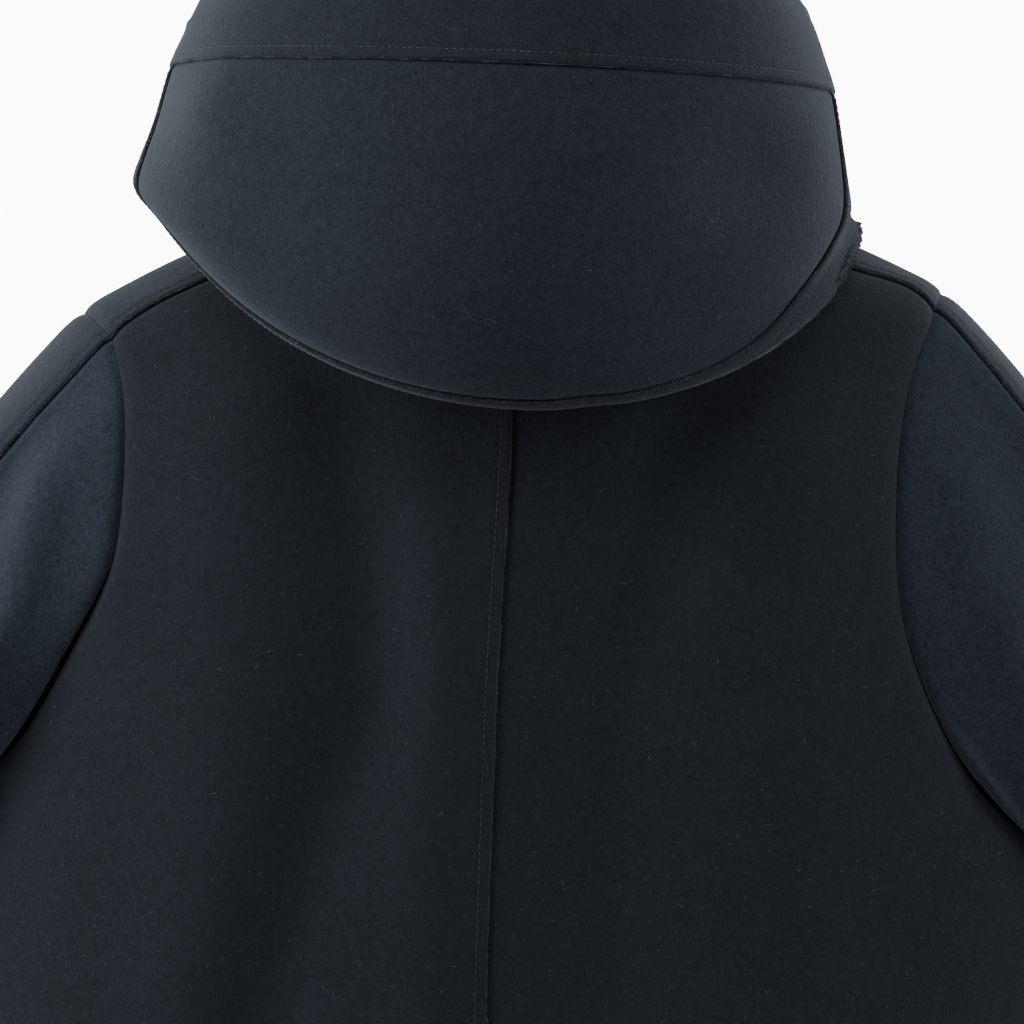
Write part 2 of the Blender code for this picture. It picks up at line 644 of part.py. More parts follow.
def back_net(side):
    """From the centre back seam to the shoulder seam, armhole and side."""
    upper = side == "left"
    start = [0.0, LAP_PRESS, LAP_END] if upper else [-LAP_UNDER, UNDER_CLEAR, UNDER_RISE]
    rows = []
    for row, line in enumerate(row_lines(side, 1)):
        length = lengths_along(line)[-1]
        edge = UNDER_CLEAR if seam_row(row) else SEAM_INSET
        columns = shared_columns(length, start, [DITCH_WIDTH, UNDER_RISE, edge], BACK_COLUMNS)
        points = at_lengths(line, columns)
        rows.append(settle(points))
    grid = np.array(rows)
    strip = np.concatenate([hidden_strip(side), grid[SHOULDER_ROWS + 1:, -1]])
    grid = np.concatenate([grid, strip[:, None]], axis=1)
    base, way = folded(grid)
    net = Net(base, way)
    net.present[SHOULDER_ROWS:, -1] = False
    if upper:
        net.press_over(slice(None), slice(0, 2))
    else:
        net.press_under(slice(None), 1, 0)
    net.press_under(slice(0, SHOULDER_ROWS + 1), -2, -1)
    armhole = slice(SHOULDER_ROWS + 1, SHOULDER_ROWS + BACK_SPANS + 1)
    net.way[armhole, -2] = armhole_way(side, 1)[1:]
    net.rise[armhole, -2] = -DITCH_DEPTH
    net.rise[armhole, -3] = -DITCH_DEPTH * DITCH_SHOULDER
    net.rise[SHOULDER_ROWS + BACK_SPANS + 1:, -2] = -SIDE_DITCH_DEPTH
    return net


def hidden_strip(side):
    """Far edge of the back's strip under the raw edge of the front."""
    seam = outer_edge(side, -1)[:SHOULDER_ROWS + 1]
    points = []
    for line in row_lines(side, -1)[:SHOULDER_ROWS]:
        points.append(at_lengths(line[::-1], [LAP_UNDER])[0])
    corner = at_lengths(front_armhole(side), [LAP_UNDER])[0]
    along_seam = unit(seam[-2] - seam[-1])
    points.append(corner + along_seam * STRIP_INSET)
    return settle(np.array(points))


def front_net(side):
    """From past the centre front to the shoulder seam, armhole and side."""
    over = side == "right"
    reach = FRONT_LAP
    rows = []
    for row, line in enumerate(row_lines(side, -1)):
        past = mirror_past_centre(line, reach)
        whole = np.concatenate([past[::-1], line])
        length = lengths_along(whole)[-1]
        if over:
            start = [0.0, reach, 2 * reach + RAMP_AWAY, 2 * reach + RAMP_AWAY + FRONT_RAMP]
        else:
            start = [0.0, reach, 2 * reach, 2 * reach + FRONT_RAMP]
        edge = 0.0 if seam_row(row) else SEAM_INSET
        columns = shared_columns(length, start, [LAP_END, LAP_PRESS, edge], FRONT_COLUMNS)
        points = settle(at_lengths(whole, columns))
        rows.append(points)
    base, way = folded(np.array(rows))
    net = Net(base, way)
    if over:
        net.rise[:, 0:3] = FRONT_RISE
    lap_rows = slice(0, SHOULDER_ROWS + 2)
    net.press_over(lap_rows, slice(-2, None))
    armhole = slice(SHOULDER_ROWS + 2, SHOULDER_ROWS + BACK_SPANS + 1)
    net.way[armhole, -1] = armhole_way(side, -1)[2:]
    net.rise[armhole, -1] = -DITCH_DEPTH
    net.rise[SHOULDER_ROWS + BACK_SPANS + 1:, -1] = -SIDE_DITCH_DEPTH
    return net


def mirror_past_centre(line, reach):
    """The line's own start mirrored past the centre, as long as the overlap."""
    steps = np.linspace(reach / PAST_STEPS, reach, PAST_STEPS)
    near = at_lengths(line, steps)
    return near * np.array([-1.0, 1.0, 1.0])


# ---------------------------------------------------------------- sleeves

def armhole_loop(side):
    """Points round the armhole with the body's outward way and the way out of the panel."""
    points = []
    for face in (1, -1):
        points.append(armhole_rows(side, face))
    back, front = points
    loop = np.concatenate([back, front[-2:0:-1]])
    base, way = folded(loop)
    around = unit(np.roll(base, -1, axis=0) - np.roll(base, 1, axis=0))
    out = unit(np.cross(around, way))
    out *= np.sign(out[BACK_SPANS, 2])
    return base, way, around, out


def ring_frame(side, drop):
    x = float(smooth(SLEEVE_RINGS, "drop", "x", drop))
    y = float(smooth(SLEEVE_RINGS, "drop", "y", drop))
    return np.array([sign(side) * x, y, ARMPIT_Z[side] - drop])


def ring_points(side, drop, angles):
    centre = ring_frame(side, drop)
    axis = unit(ring_frame(side, drop + 0.01) - ring_frame(side, drop - 0.01))
    outward = unit(np.cross(axis, np.array([0.0, 1.0, 0.0])))
    outward *= np.sign(outward[0]) * sign(side)
    backward = np.cross(axis, outward)
    backward *= np.sign(backward[1])
    wide = float(smooth(SLEEVE_RINGS, "drop", "half_width", drop))
    deep = float(smooth(SLEEVE_RINGS, "drop", "half_depth", drop))
    across = np.cos(angles)[:, None] * wide * outward
    along = np.sin(angles)[:, None] * deep * backward
    return centre + across + along, axis


def ring_distances(total, armhole_distances, fixed):
    """Columns round half a ring: the first few at real distances, the rest in proportion."""
    share = (armhole_distances - armhole_distances[fixed]) / (
        armhole_distances[-1] - armhole_distances[fixed])
    start = armhole_distances[fixed]
    found = start + share * (total - start)
    found[:fixed] = armhole_distances[:fixed]
    return found


def sleeve_ring(side, drop):
    """One ring, its points matched to the points of the armhole."""
    halves = []
    for face, end in ((1, np.pi), (-1, -np.pi)):
        angles = np.linspace(SLEEVE_TOP_ANGLE, end, DENSE)
        line, axis = ring_points(side, drop, angles)
        armhole = back_armhole(side) if face > 0 else front_armhole(side)
        first = [0.0, 0.024] if face > 0 else [0.0, LAP_PRESS, 0.024]
        steps = armhole_steps(armhole, first)
        wanted = ring_distances(lengths_along(line)[-1], steps, len(first) - 1)
        halves.append(at_lengths(line, wanted))
    back, front = halves
    return np.concatenate([back, front[-2:0:-1]]), axis


@functools.cache
def cap_lines(side):
    """Dense lines from the armhole to the first ring, with the wall's way at the armhole."""
    base, way, around, out = armhole_loop(side)
    ring, axis = sleeve_ring(side, SLEEVE_RINGS[0]["drop"])
    gap = ring - base
    up = np.sum(gap * way, axis=1)
    off = np.sum(gap * out, axis=1)
    turn = np.arctan2(np.where(off < 0, np.maximum(up, LOWEST_RISE), up), off)
    turn = np.where(turn < 0, np.maximum(turn * CAP_BREAK, CAP_BREAK_LIMIT[side]), turn)
    turn = turn[:, None]
    slip = np.sum(gap * around, axis=1)[:, None]
    rest = np.sqrt(up ** 2 + off ** 2)[:, None]
    leave = unit(slip * around + rest * (out * np.cos(turn) + way * np.sin(turn)))
    own = way * np.cos(turn) - out * np.sin(turn)
    way_here = np.where(turn < 0, unit(way + own), own)
    length = np.linalg.norm(gap, axis=1)[:, None]
    t = np.linspace(0.0, 1.0, DENSE)[:, None, None]
    lines = (2 * t ** 3 - 3 * t ** 2 + 1) * base + (3 * t ** 2 - 2 * t ** 3) * ring
    lines = lines + (t ** 3 - 2 * t ** 2 + t) * leave * length * CAP_PULL[0]
    lines = lines + (t ** 3 - t ** 2) * axis * length * CAP_PULL[1]
    return lines, way_here


def armhole_way(side, face):
    """Way through the body's wall at the armhole: shared with the sleeve where it turns down."""
    base, way, around, out = armhole_loop(side)
    shared = cap_lines(side)[1]
    bends_down = np.sum(shared * out, axis=1) > 0
    found = np.where(bends_down[:, None], shared, way)
    loop = np.roll(found, -1, axis=0)
    return found[:BACK_SPANS + 1] if face > 0 else loop[::-1][:BACK_SPANS + 1]


@functools.cache
def sleeve_loop_grid(side):
    """Closed rows of the whole sleeve from the armhole to the cuff, and the ways out."""
    lines, first_way = cap_lines(side)
    columns = []
    for column in range(lines.shape[1]):
        line = lines[:, column]
        total = lengths_along(line)[-1]
        wanted = np.concatenate([[0.0], np.linspace(DITCH_WIDTH, total, CAP_ROWS)])
        columns.append(at_lengths(line, wanted))
    cap = clear_of_body(np.array(columns).transpose(1, 0, 2))
    drops = np.linspace(SLEEVE_RINGS[0]["drop"], SLEEVE_RINGS[-1]["drop"], ARM_ROWS + 1)[1:]
    arm = np.array([sleeve_ring(side, drop)[0] for drop in drops])
    grid = np.concatenate([cap, arm])
    around = np.roll(grid, -1, axis=1) - np.roll(grid, 1, axis=1)
    down = np.gradient(grid, axis=0)
    way = unit(np.cross(around, down))
    centre = grid.mean(axis=1, keepdims=True)
    middle = way[-1] * (grid[-1] - centre[-1])
    way *= np.sign(np.sum(middle))
    way[0] = first_way
    for fold in SLEEVE_FOLDS:
        if fold["side"] == side:
            grid = grid - way * fold_push(fold, grid)[..., None]
    return grid, way


def clear_of_body(cap):
    """Hold the underarm part of a sleeve just off the body panels it hangs beside."""
    for row in range(1, len(cap)):
        for column in range(BACK_SPANS - UNDERARM_COLUMNS, BACK_SPANS + UNDERARM_COLUMNS + 1):
            point = cap[row, column]
            reach = np.linalg.norm(point - cap[0, column])
            wanted = min(UNDERARM_GAP, UNDERARM_SPREAD * reach)
            wanted += max(0.0, -float(fold_depth(point)))
            way = form_normal(point)
            slope = (form_value(point + way * 0.001) - form_value(point - way * 0.001)) / 0.002
            apart = form_value(point) / slope
            cap[row, column] = point + way * max(0.0, wanted - apart)
    return cap


def fold_push(fold, points):
    path = [dict(z=level, x=place) for level, place in zip(fold["z"], fold["x"])]
    middle = smooth(path, "z", "x", points[..., 2])
    across = np.exp(-((points[..., 0] - middle) / fold["width"]) ** 2)
    top, foot = max(fold["z"]), min(fold["z"])
    start = np.clip((top - points[..., 2]) / SLEEVE_FOLD_RUN_IN, 0.0, 1.0)
    end = np.clip((points[..., 2] - foot) / SLEEVE_FOLD_RUN_IN, 0.0, 1.0)
    facing = np.clip(points[..., 1] * fold["face"] / FOLD_FACING, 0.0, 1.0)
    free = np.ones(points.shape[:-1])
    free[0] = 0.0
    return fold["depth"] * across * start * end * facing * free


def inset_edge(grid, place, toward, gap):
    """Move a column of a grid a little way toward its neighbour."""
    grid[:, place] += unit(grid[:, toward] - grid[:, place]) * gap


def sleeve_net(side, face):
    grid, way = sleeve_loop_grid(side)
    spans = BACK_SPANS
    if face > 0:
        piece, ways = grid[:, :spans + 1].copy(), way[:, :spans + 1].copy()
        front = grid[:, -1]
        share = LAP_UNDER / LAP_PRESS
        hidden = grid[:, 0] + (front - grid[:, 0]) * share
        hidden_way = unit(way[:, 0] + (way[:, -1] - way[:, 0]) * share)
        inset_edge(piece, 0, 1, UNDER_CLEAR)
        piece = np.concatenate([hidden[:, None], piece], axis=1)
        ways = np.concatenate([hidden_way[:, None], ways], axis=1)
    else:
        order = [0] + list(range(-1, -spans - 1, -1))
        piece, ways = grid[:, order].copy(), way[:, order].copy()
    inset_edge(piece, -1, -2, SEAM_INSET)
    piece[0] += unit(piece[1] - piece[0]) * SEAM_INSET
    net = Net(piece, ways)
    if face > 0:
        net.press_under(slice(None), 1, 0)
    else:
        net.press_over(slice(None), slice(0, 2))
    net.rise[0, 2:] = -DITCH_DEPTH
    net.rise[1:, -1] = -SIDE_DITCH_DEPTH
    return net


# ---------------------------------------------------------------- hood

@functools.cache
def hood_neck_line():
    """Turns from the centre back, and the hood's neck edge there, just off the body's."""
    turns = np.linspace(0.0, np.pi, DENSE)
    halves = []
    for side in ("right", "left"):
        line = neckline(side)
        lift = smooth(NECK_LIFTS, "turn", "lift", turns * sign(side))
        halves.append(line + form_normal(line) * lift[:, None])
    right, left = halves
    return np.concatenate([-turns[:0:-1], turns]), np.concatenate([right[:0:-1], left])


def neck_point(turn):
    turns, line = hood_neck_line()
    return np.stack([np.interp(turn, turns, line[:, axis]) for axis in range(3)], axis=-1)


def hood_ring(turn, w):
    names = [name for name in HOOD_RINGS[0] if name not in ("w", "shift")]
    value = {name: smooth(HOOD_RINGS, "w", name, w) for name in names}
    ahead = np.cos(turn)
    back = ahead >= 0
    y_end = np.where(back, value["y_back"], value["y_front"])
    z_end = np.where(back, value["z_back"], value["z_front"])
    x = value["wide"] * np.sin(turn)
    y = value["y_side"] + (y_end - value["y_side"]) * np.abs(ahead)
    z = value["z_side"] + (z_end - value["z_side"]) * np.abs(ahead) ** value["fall"]
    return np.stack([x, y, z], axis=-1)


def hood_form(turn, w):
    """A point of the hood's outer face at a turn and a share of the way to the neck."""
    turn = np.asarray(turn, dtype=float)
    w = np.asarray(w, dtype=float)
    points = hood_ring(turn, w)
    near = np.clip((w - NECK_BLEND_W) / (1.0 - NECK_BLEND_W), 0.0, 1.0)
    far = 1.0 - near * near * (3.0 - 2.0 * near)
    points[..., 2] += HOOD_TILT * points[..., 0] * far
    points[..., 0] += smooth(HOOD_RINGS, "w", "shift", w) * far
    pull = (near ** 2)[..., None]
    return points + pull * (neck_point(turn) - hood_ring(turn, np.ones_like(w)))


def hood_way(turn, w):
    step = 0.01
    across = hood_form(turn + step, w) - hood_form(turn - step, w)
    down = hood_form(turn, np.minimum(w + step, 1.0)) - hood_form(turn, np.maximum(w - step, 0.0))
    return unit(np.cross(across, down))


def hood_points(turn, w):
    """Points of the hood with its dents, held off the body, and the ways out of it."""
    points = hood_form(turn, w)
    way = hood_way(turn, w)
    for dent in HOOD_DENTS:
        reach = ((turn - dent["turn"]) / dent["spread_turn"]) ** 2
        reach = reach + ((w - dent["w"]) / dent["spread_w"]) ** 2
        points = points - way * (dent["depth"] * np.exp(-reach))[..., None]
    body_way = form_normal(points)
    step = 0.001
    slope = (form_value(points + body_way * step) - form_value(points - body_way * step)) / (2 * step)
    apart = form_value(points) / np.maximum(slope, 1e-6)
    wanted = HOOD_CLEAR * np.clip((1.0 - w) / 0.15, NECK_CLEAR_SHARE, 1.0)
    push = np.maximum(0.0, wanted - apart)
    return points + body_way * push[..., None], way


def crown_place(across, down):
    """Turn and w of a point of the crown: across runs from -1 to 1 and down from 0 to 1."""
    x = across * np.sqrt(1.0 - down ** 2 / 2)
    y = down * np.sqrt(1.0 - across ** 2 / 2)
    radius = np.sqrt(x * x + y * y)
    angle = np.arctan2(y, np.abs(x))
    power = np.where(x >= 0, CROWN_SQUARE["left"], CROWN_SQUARE["right"])
    square = (np.cos(angle) ** power + np.sin(angle) ** power) ** (-1.0 / power)
    scale = 1.0 + (square - 1.0) * radius ** 2
    return CROWN_TURN * x * scale, BAND_W + (FOLD_W - BAND_W) * y * scale


def crown_edge():
    """Places round the crown's U seam from its right corner, down and up to its left one."""
    down = np.linspace(0.0, 1.0, CROWN_ROWS + 1)
    across = np.linspace(-1.0, 1.0, CROWN_COLUMNS + 1)
    right = [crown_place(-1.0, share) for share in down[:-1]]
    bottom = [crown_place(share, 1.0) for share in across]
    left = [crown_place(1.0, share) for share in down[-2::-1]]
    return right + bottom + left


def side_line_ends():
    """Top and neck end, as turn and w, of each line of the side panel."""
    edge = crown_edge()
    turns = np.linspace(FRONT_TURN, CROWN_TURN, HOOD_FRONT_COLUMNS + 1)[:-1]
    necks = np.linspace(FRONT_TURN, NECK_TURN, HOOD_FRONT_COLUMNS + 1)[:-1]
    ends = [((-turn, BAND_W), -neck) for turn, neck in zip(turns, necks)]
    share = np.linspace(-1.0, 1.0, len(edge))
    ends += [(place, NECK_TURN * part) for place, part in zip(edge, share)]
    ends += [((turn, BAND_W), neck) for turn, neck in zip(turns[::-1], necks[::-1])]
    return ends


def spread_line(turn, w, distances):
    """Points, and ways out, at real distances along a line of the hood."""
    points, way = hood_points(turn, w)
    run = lengths_along(points)
    wanted = distances(run[-1])
    at_turn = np.interp(wanted, run, turn)
    at_w = np.interp(wanted, run, w)
    return hood_points(at_turn, at_w)


def side_distances(total):
    even = np.linspace(LAP_END, total, SIDE_ROWS + 1)
    return np.concatenate([[0.0, LAP_PRESS], even])


@functools.cache
def side_columns():
    columns = []
    for (turn, w), neck in side_line_ends():
        share = np.linspace(0.0, 1.0, DENSE)
        columns.append(spread_line(turn + (neck - turn) * share, w + (1.0 - w) * share,
                                   side_distances))
    points = np.array([column[0] for column in columns]).transpose(1, 0, 2)
    ways = np.array([column[1] for column in columns]).transpose(1, 0, 2)
    return points, ways


def band_distances(total):
    even = np.linspace(LAP_END, total, BAND_ROWS + 1)
    return np.concatenate([[0.0, LAP_PRESS], even])


def band_turns():
    front = np.linspace(FRONT_TURN, CROWN_TURN, HOOD_FRONT_COLUMNS + 1)[:-1]
    across = np.linspace(-1.0, 1.0, CROWN_COLUMNS + 1)
    middle = [crown_place(share, 0.0)[0] for share in across]
    return np.concatenate([-front, middle, front[::-1]])


@functools.cache
def band_columns():
    columns = []
    for turn in band_turns():
        w = np.linspace(BAND_W, 0.0, DENSE)
        columns.append(spread_line(np.full(DENSE, turn), w, band_distances))
    points = np.array([column[0] for column in columns]).transpose(1, 0, 2)
    ways = np.array([column[1] for column in columns]).transpose(1, 0, 2)
    return points, ways


def under_strip(points, ways):
    """Far edge of a strip under an upper panel, on the flat between its first two rows."""
    share = LAP_UNDER / LAP_PRESS
    return points[0] + (points[1] - points[0]) * share, unit(
        ways[0] + (ways[1] - ways[0]) * share)


def band_net():
    points, ways = band_columns()
    net = Net(points, ways)
    net.press_over(slice(0, 2), slice(None))
    return net


def side_net():
    points, ways = side_columns()
    strip, strip_way = under_strip(*band_columns())
    first, last = HOOD_FRONT_COLUMNS, points.shape[1] - HOOD_FRONT_COLUMNS - 1
    hidden, hidden_way = points[0].copy(), ways[0].copy()
    hidden[:first + 1], hidden_way[:first + 1] = strip[:first + 1], strip_way[:first + 1]
    hidden[last:], hidden_way[last:] = strip[-first - 1:], strip_way[-first - 1:]
    net = Net(np.concatenate([hidden[None], points]), np.concatenate([hidden_way[None], ways]))
    net.base[1, :first + 1] += unit(points[1, :first + 1] - points[0, :first + 1]) * UNDER_CLEAR
    net.base[1, last:] += unit(points[1, last:] - points[0, last:]) * UNDER_CLEAR
    net.present[0, first:last] = False
    net.press_over(slice(1, 3), slice(first + 1, last))
    for columns in (slice(0, first + 1), slice(last, None)):
        net.rise[0, columns] = -HIDDEN_SINK
        net.wall[0, columns] = HIDDEN_WALL
        net.rise[1, columns] = -LAP_SINK
        net.wall[1, columns] = WALL - LAP_SINK
    return net


def crown_net():
    across = np.linspace(-1.0, 1.0, CROWN_COLUMNS + 1)
    down = np.linspace(0.0, 1.0, CROWN_ROWS + 1)
    turn, w = crown_place(across[None, :], down[:, None])
    points, ways = hood_points(turn, w)
    edge = points.copy()
    edge[0] += unit(points[1] - points[0]) * UNDER_CLEAR
    edge[-1] += unit(points[-2] - points[-1]) * UNDER_CLEAR
    edge[:, 0] += unit(points[:, 1] - points[:, 0]) * UNDER_CLEAR
    edge[:, -1] += unit(points[:, -2] - points[:, -1]) * UNDER_CLEAR
    rows, columns = CROWN_ROWS, CROWN_COLUMNS
    base = np.zeros((rows + 3, columns + 3, 3))
    way = np.zeros_like(base)
    base[1:-1, 1:-1] = edge
    way[1:-1, 1:-1] = ways
    top, top_way = under_strip(*band_columns())
    front = HOOD_FRONT_COLUMNS
    base[0, 1:-1], way[0, 1:-1] = top[front:-front], top_way[front:-front]
    rim, rim_way = under_strip(*side_columns())
    rim, rim_way = rim[front:len(rim) - front], rim_way[front:len(rim_way) - front]
    base[1:-1, 0], way[1:-1, 0] = rim[:rows + 1], rim_way[:rows + 1]
    base[-1, 1:-1], way[-1, 1:-1] = rim[rows:rows + columns + 1], rim_way[rows:rows + columns + 1]
    base[1:-1, -1] = rim[::-1][:rows + 1]
    way[1:-1, -1] = rim_way[::-1][:rows + 1]
    net = Net(base, way)
    net.present[0, :CORNER_FREE + 1] = False
    net.present[0, -CORNER_FREE - 1:] = False
    net.present[:CORNER_FREE + 1, 0] = False
    net.present[:CORNER_FREE + 1, -1] = False
    net.present[-2:, 0] = False
    net.present[-2:, -1] = False
    for line in ((1, slice(1, -1)), (-2, slice(1, -1)), (slice(1, -1), 1), (slice(1, -1), -2)):
        net.rise[line] = -LAP_SINK
        net.wall[line] = WALL - LAP_SINK
    for line in ((0, slice(None)), (-1, slice(None)), (slice(None), 0), (slice(None), -1)):
        net.rise[line] = -HIDDEN_SINK
        net.wall[line] = HIDDEN_WALL
    return net


# ---------------------------------------------------------------- buttons

def button_profile():
    """Half section of a button: distance from its axis and height above its back."""
    rim = BUTTON_RADIUS
    return (
        (0.0, 0.0),
        (rim - 0.0012, 0.0),
        (rim - 0.0002, 0.0009),
        (rim, 0.0022),
        (rim - 0.0010, BUTTON_THICK),
        (BUTTON_DISH_RADIUS, BUTTON_THICK),
        (BUTTON_DISH_RADIUS - 0.0012, BUTTON_THICK - BUTTON_DISH),
        (0.0, BUTTON_THICK - BUTTON_DISH),
    )


def button_mesh(name):
    """A turned disc with a dished face and four holes."""
    maker = bmesh.new()
    profile = button_profile()
    corners = [maker.verts.new((radius, 0.0, height)) for radius, height in profile]
    edges = [maker.edges.new(pair) for pair in zip(corners, corners[1:])]
    bmesh.ops.spin(maker, geom=corners + edges, cent=(0, 0, 0), axis=(0, 0, 1),
                   angle=2 * np.pi, steps=BUTTON_SIDES, use_merge=True)
    bmesh.ops.remove_doubles(maker, verts=maker.verts[:], dist=1e-6)
    bmesh.ops.recalc_face_normals(maker, faces=maker.faces[:])
    mesh = bpy.data.meshes.new(name)
    maker.to_mesh(mesh)
    maker.free()
    return mesh


def add_button(number, level, cutters):
    name = f"button_{number}"
    seat, way = folded(settle(np.array([[0.0, -0.1, level]])))
    way = way[0]
    place = seat[0] + way * (FRONT_RISE + BUTTON_STAND)
    button = add_object(name, button_mesh(name), button_material(name))
    lean = np.arctan2(way[2], -way[1])
    button.rotation_euler = (np.pi / 2 - lean, 0.0, 0.0)
    button.location = place
    for quarter in range(4):
        angle = np.pi / 4 + quarter * np.pi / 2
        bpy.ops.mesh.primitive_cylinder_add(vertices=10, radius=BUTTON_HOLE_RADIUS,
                                            depth=4 * BUTTON_THICK)
        cutter = bpy.context.object
        cutter.name = f"cutter_{number}_{quarter + 1}"
        cutter.parent = button
        reach = BUTTON_HOLE_OFFSET * np.sqrt(2)
        cutter.location = (reach * np.cos(angle), reach * np.sin(angle), 0.0)
        cutter.hide_render = True
        cutter.display_type = "WIRE"
        for owner in list(cutter.users_collection):
            owner.objects.unlink(cutter)
        cutters.objects.link(cutter)
        hole = button.modifiers.new("hole", "BOOLEAN")
        hole.operation = "DIFFERENCE"
        hole.solver = "EXACT"
        hole.object = cutter


def button_material(name):
    material = bpy.data.materials.new(name)
    material.use_nodes = True
    shader = material.node_tree.nodes["Principled BSDF"]
    shader.inputs["Base Color"].default_value = HORN_COLOUR
    shader.inputs["Roughness"].default_value = 0.35
    shader.inputs["Metallic"].default_value = 0.0
    return material


def clear_scene():
    for thing in list(bpy.data.objects):
        bpy.data.objects.remove(thing, do_unlink=True)


def cloth_material(name):
    material = bpy.data.materials.new(name)
    material.use_nodes = True
    shader = material.node_tree.nodes["Principled BSDF"]
    shader.inputs["Base Color"].default_value = WOOL_COLOUR
    shader.inputs["Roughness"].default_value = 0.95
    shader.inputs["Metallic"].default_value = 0.0
    return material


def main():
    clear_scene()
    collection = bpy.data.collections.new(COLLECTION)
    bpy.context.scene.collection.children.link(collection)
    for side in ("left", "right"):
        flip = side == "right"
        name = f"back_{side}"
        wall_object(name, back_net(side), cloth_material(name), flip)
        name = f"front_{side}"
        wall_object(name, front_net(side), cloth_material(name), flip)
        for face, label in ((1, "back"), (-1, "front")):
            name = f"sleeve_{side}_{label}"
            wall_object(name, sleeve_net(side, face), cloth_material(name), flip)
    wall_object("hood_crown", crown_net(), cloth_material("hood_crown"), False)
    wall_object("hood_side", side_net(), cloth_material("hood_side"), False)
    wall_object("hood_band", band_net(), cloth_material("hood_band"), False)
    cutters = bpy.data.collections.new("cutters")
    bpy.context.scene.collection.children.link(cutters)
    for number, level in enumerate(BUTTON_LEVELS, start=1):
        add_button(number, level, cutters)


main()
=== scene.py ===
"""Looks of a hooded coat in thick double-faced wool, worn on a hollow figure, hood down.

Metres, +Z up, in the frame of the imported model: the front faces -Y, the wearer's left
is +X, and the origin lies between the shoulders, level with the neck.
"""

import functools
import bmesh
import bpy
import numpy as np
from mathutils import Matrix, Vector


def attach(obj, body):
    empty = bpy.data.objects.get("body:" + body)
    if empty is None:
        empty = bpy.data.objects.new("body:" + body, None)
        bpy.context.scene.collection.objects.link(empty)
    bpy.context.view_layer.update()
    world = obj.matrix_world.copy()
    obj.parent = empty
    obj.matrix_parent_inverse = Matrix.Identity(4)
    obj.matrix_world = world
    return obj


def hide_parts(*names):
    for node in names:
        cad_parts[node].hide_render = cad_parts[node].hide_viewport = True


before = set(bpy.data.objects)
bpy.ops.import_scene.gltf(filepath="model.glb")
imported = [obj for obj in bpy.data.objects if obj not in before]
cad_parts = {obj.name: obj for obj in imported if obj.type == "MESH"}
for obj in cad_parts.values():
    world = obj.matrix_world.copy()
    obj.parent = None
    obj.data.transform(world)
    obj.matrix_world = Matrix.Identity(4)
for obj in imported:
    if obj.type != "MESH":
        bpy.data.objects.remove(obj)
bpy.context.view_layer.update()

bl_info = {
    "name": "Hooded Wool Coat",
    "version": (1, 0, 0),
    "blender": (4, 5, 0),
    "location": "3D View > Sidebar > Coat",
    "description": "Cloth, seams, stitches, fibres, buttons and stage of a hooded wool coat",
    "category": "Object",
}

# ---------------------------------------------------------------- cloth and seams

WALL = 0.003              # thickness of the cloth
SEAM_INSET = 0.00015      # each edge of a butted seam stands back by this much
LAP_UNDER = 0.009         # how far the lower panel reaches under a raw edge
UNDER_CLEAR = 0.0003      # the lower panel shows from this far past a raw edge
UNDER_REACHES = (LAP_UNDER, LAP_UNDER / 2)    # the hidden strip's two outer lines
STITCH_LINE = 0.0052      # the topstitching runs this far from a raw edge


def table_of(columns, values):
    """A table: each row holds its values under the names of its columns."""
    names = columns.split()
    return tuple(dict(zip(names, row)) for row in values)


# Steps away from a seam: rows and columns of a panel lie close together beside it
NEAR = (0.0, 0.0005, 0.0011, 0.0020, 0.0032, 0.0042, 0.0052, 0.0062, 0.0078, 0.0105, 0.0140)
UNDER_NEAR = (-0.0090, -0.0045, 0.0003, 0.0010, 0.0020, 0.0032, 0.0048, 0.0068, 0.0100, 0.0140)
DITCH_NEAR = (0.00015, 0.0008, 0.0018, 0.0030, 0.0045, 0.0062, 0.0082, 0.0105, 0.0135)

# Heights of both faces off the form, by the distance from a raw edge
LAP_PROFILE = table_of("d outer inner", (
    (0.0000, 0.0003, -0.0007), (0.0005, 0.0009, -0.0008), (0.0011, 0.0011, -0.0008),
    (0.0032, 0.0010, -0.0008), (0.0042, 0.0009, -0.0008), (0.0052, 0.0007, -0.0008),
    (0.0062, 0.0008, -0.0008), (0.0078, 0.0008, -0.0009), (0.0105, 0.0005, -0.0012),
    (0.0180, 0.0000, -0.0030),
))
# Depths of the lower panel beside it: its hidden strip has distances below zero
UNDER_PROFILE = table_of("d outer inner", (
    (-0.0090, -0.0018, -0.0030), (-0.0008, -0.0014, -0.0030), (0.0010, -0.0009, -0.0030),
    (0.0024, -0.0002, -0.0030), (0.0045, 0.0000, -0.0030),
))
# A plain seam is a ditch: its depth by the distance from the seam
ARMHOLE_DITCH = table_of("d depth", (
    (0.0000, 0.0026), (0.0010, 0.0021), (0.0030, 0.0012), (0.0062, 0.0005), (0.0120, 0.0000),
))
SIDE_DITCH = table_of("d depth", (
    (0.0000, 0.0012), (0.0015, 0.0007), (0.0050, 0.0000),
))

# ---------------------------------------------------------------- the body's form and edges

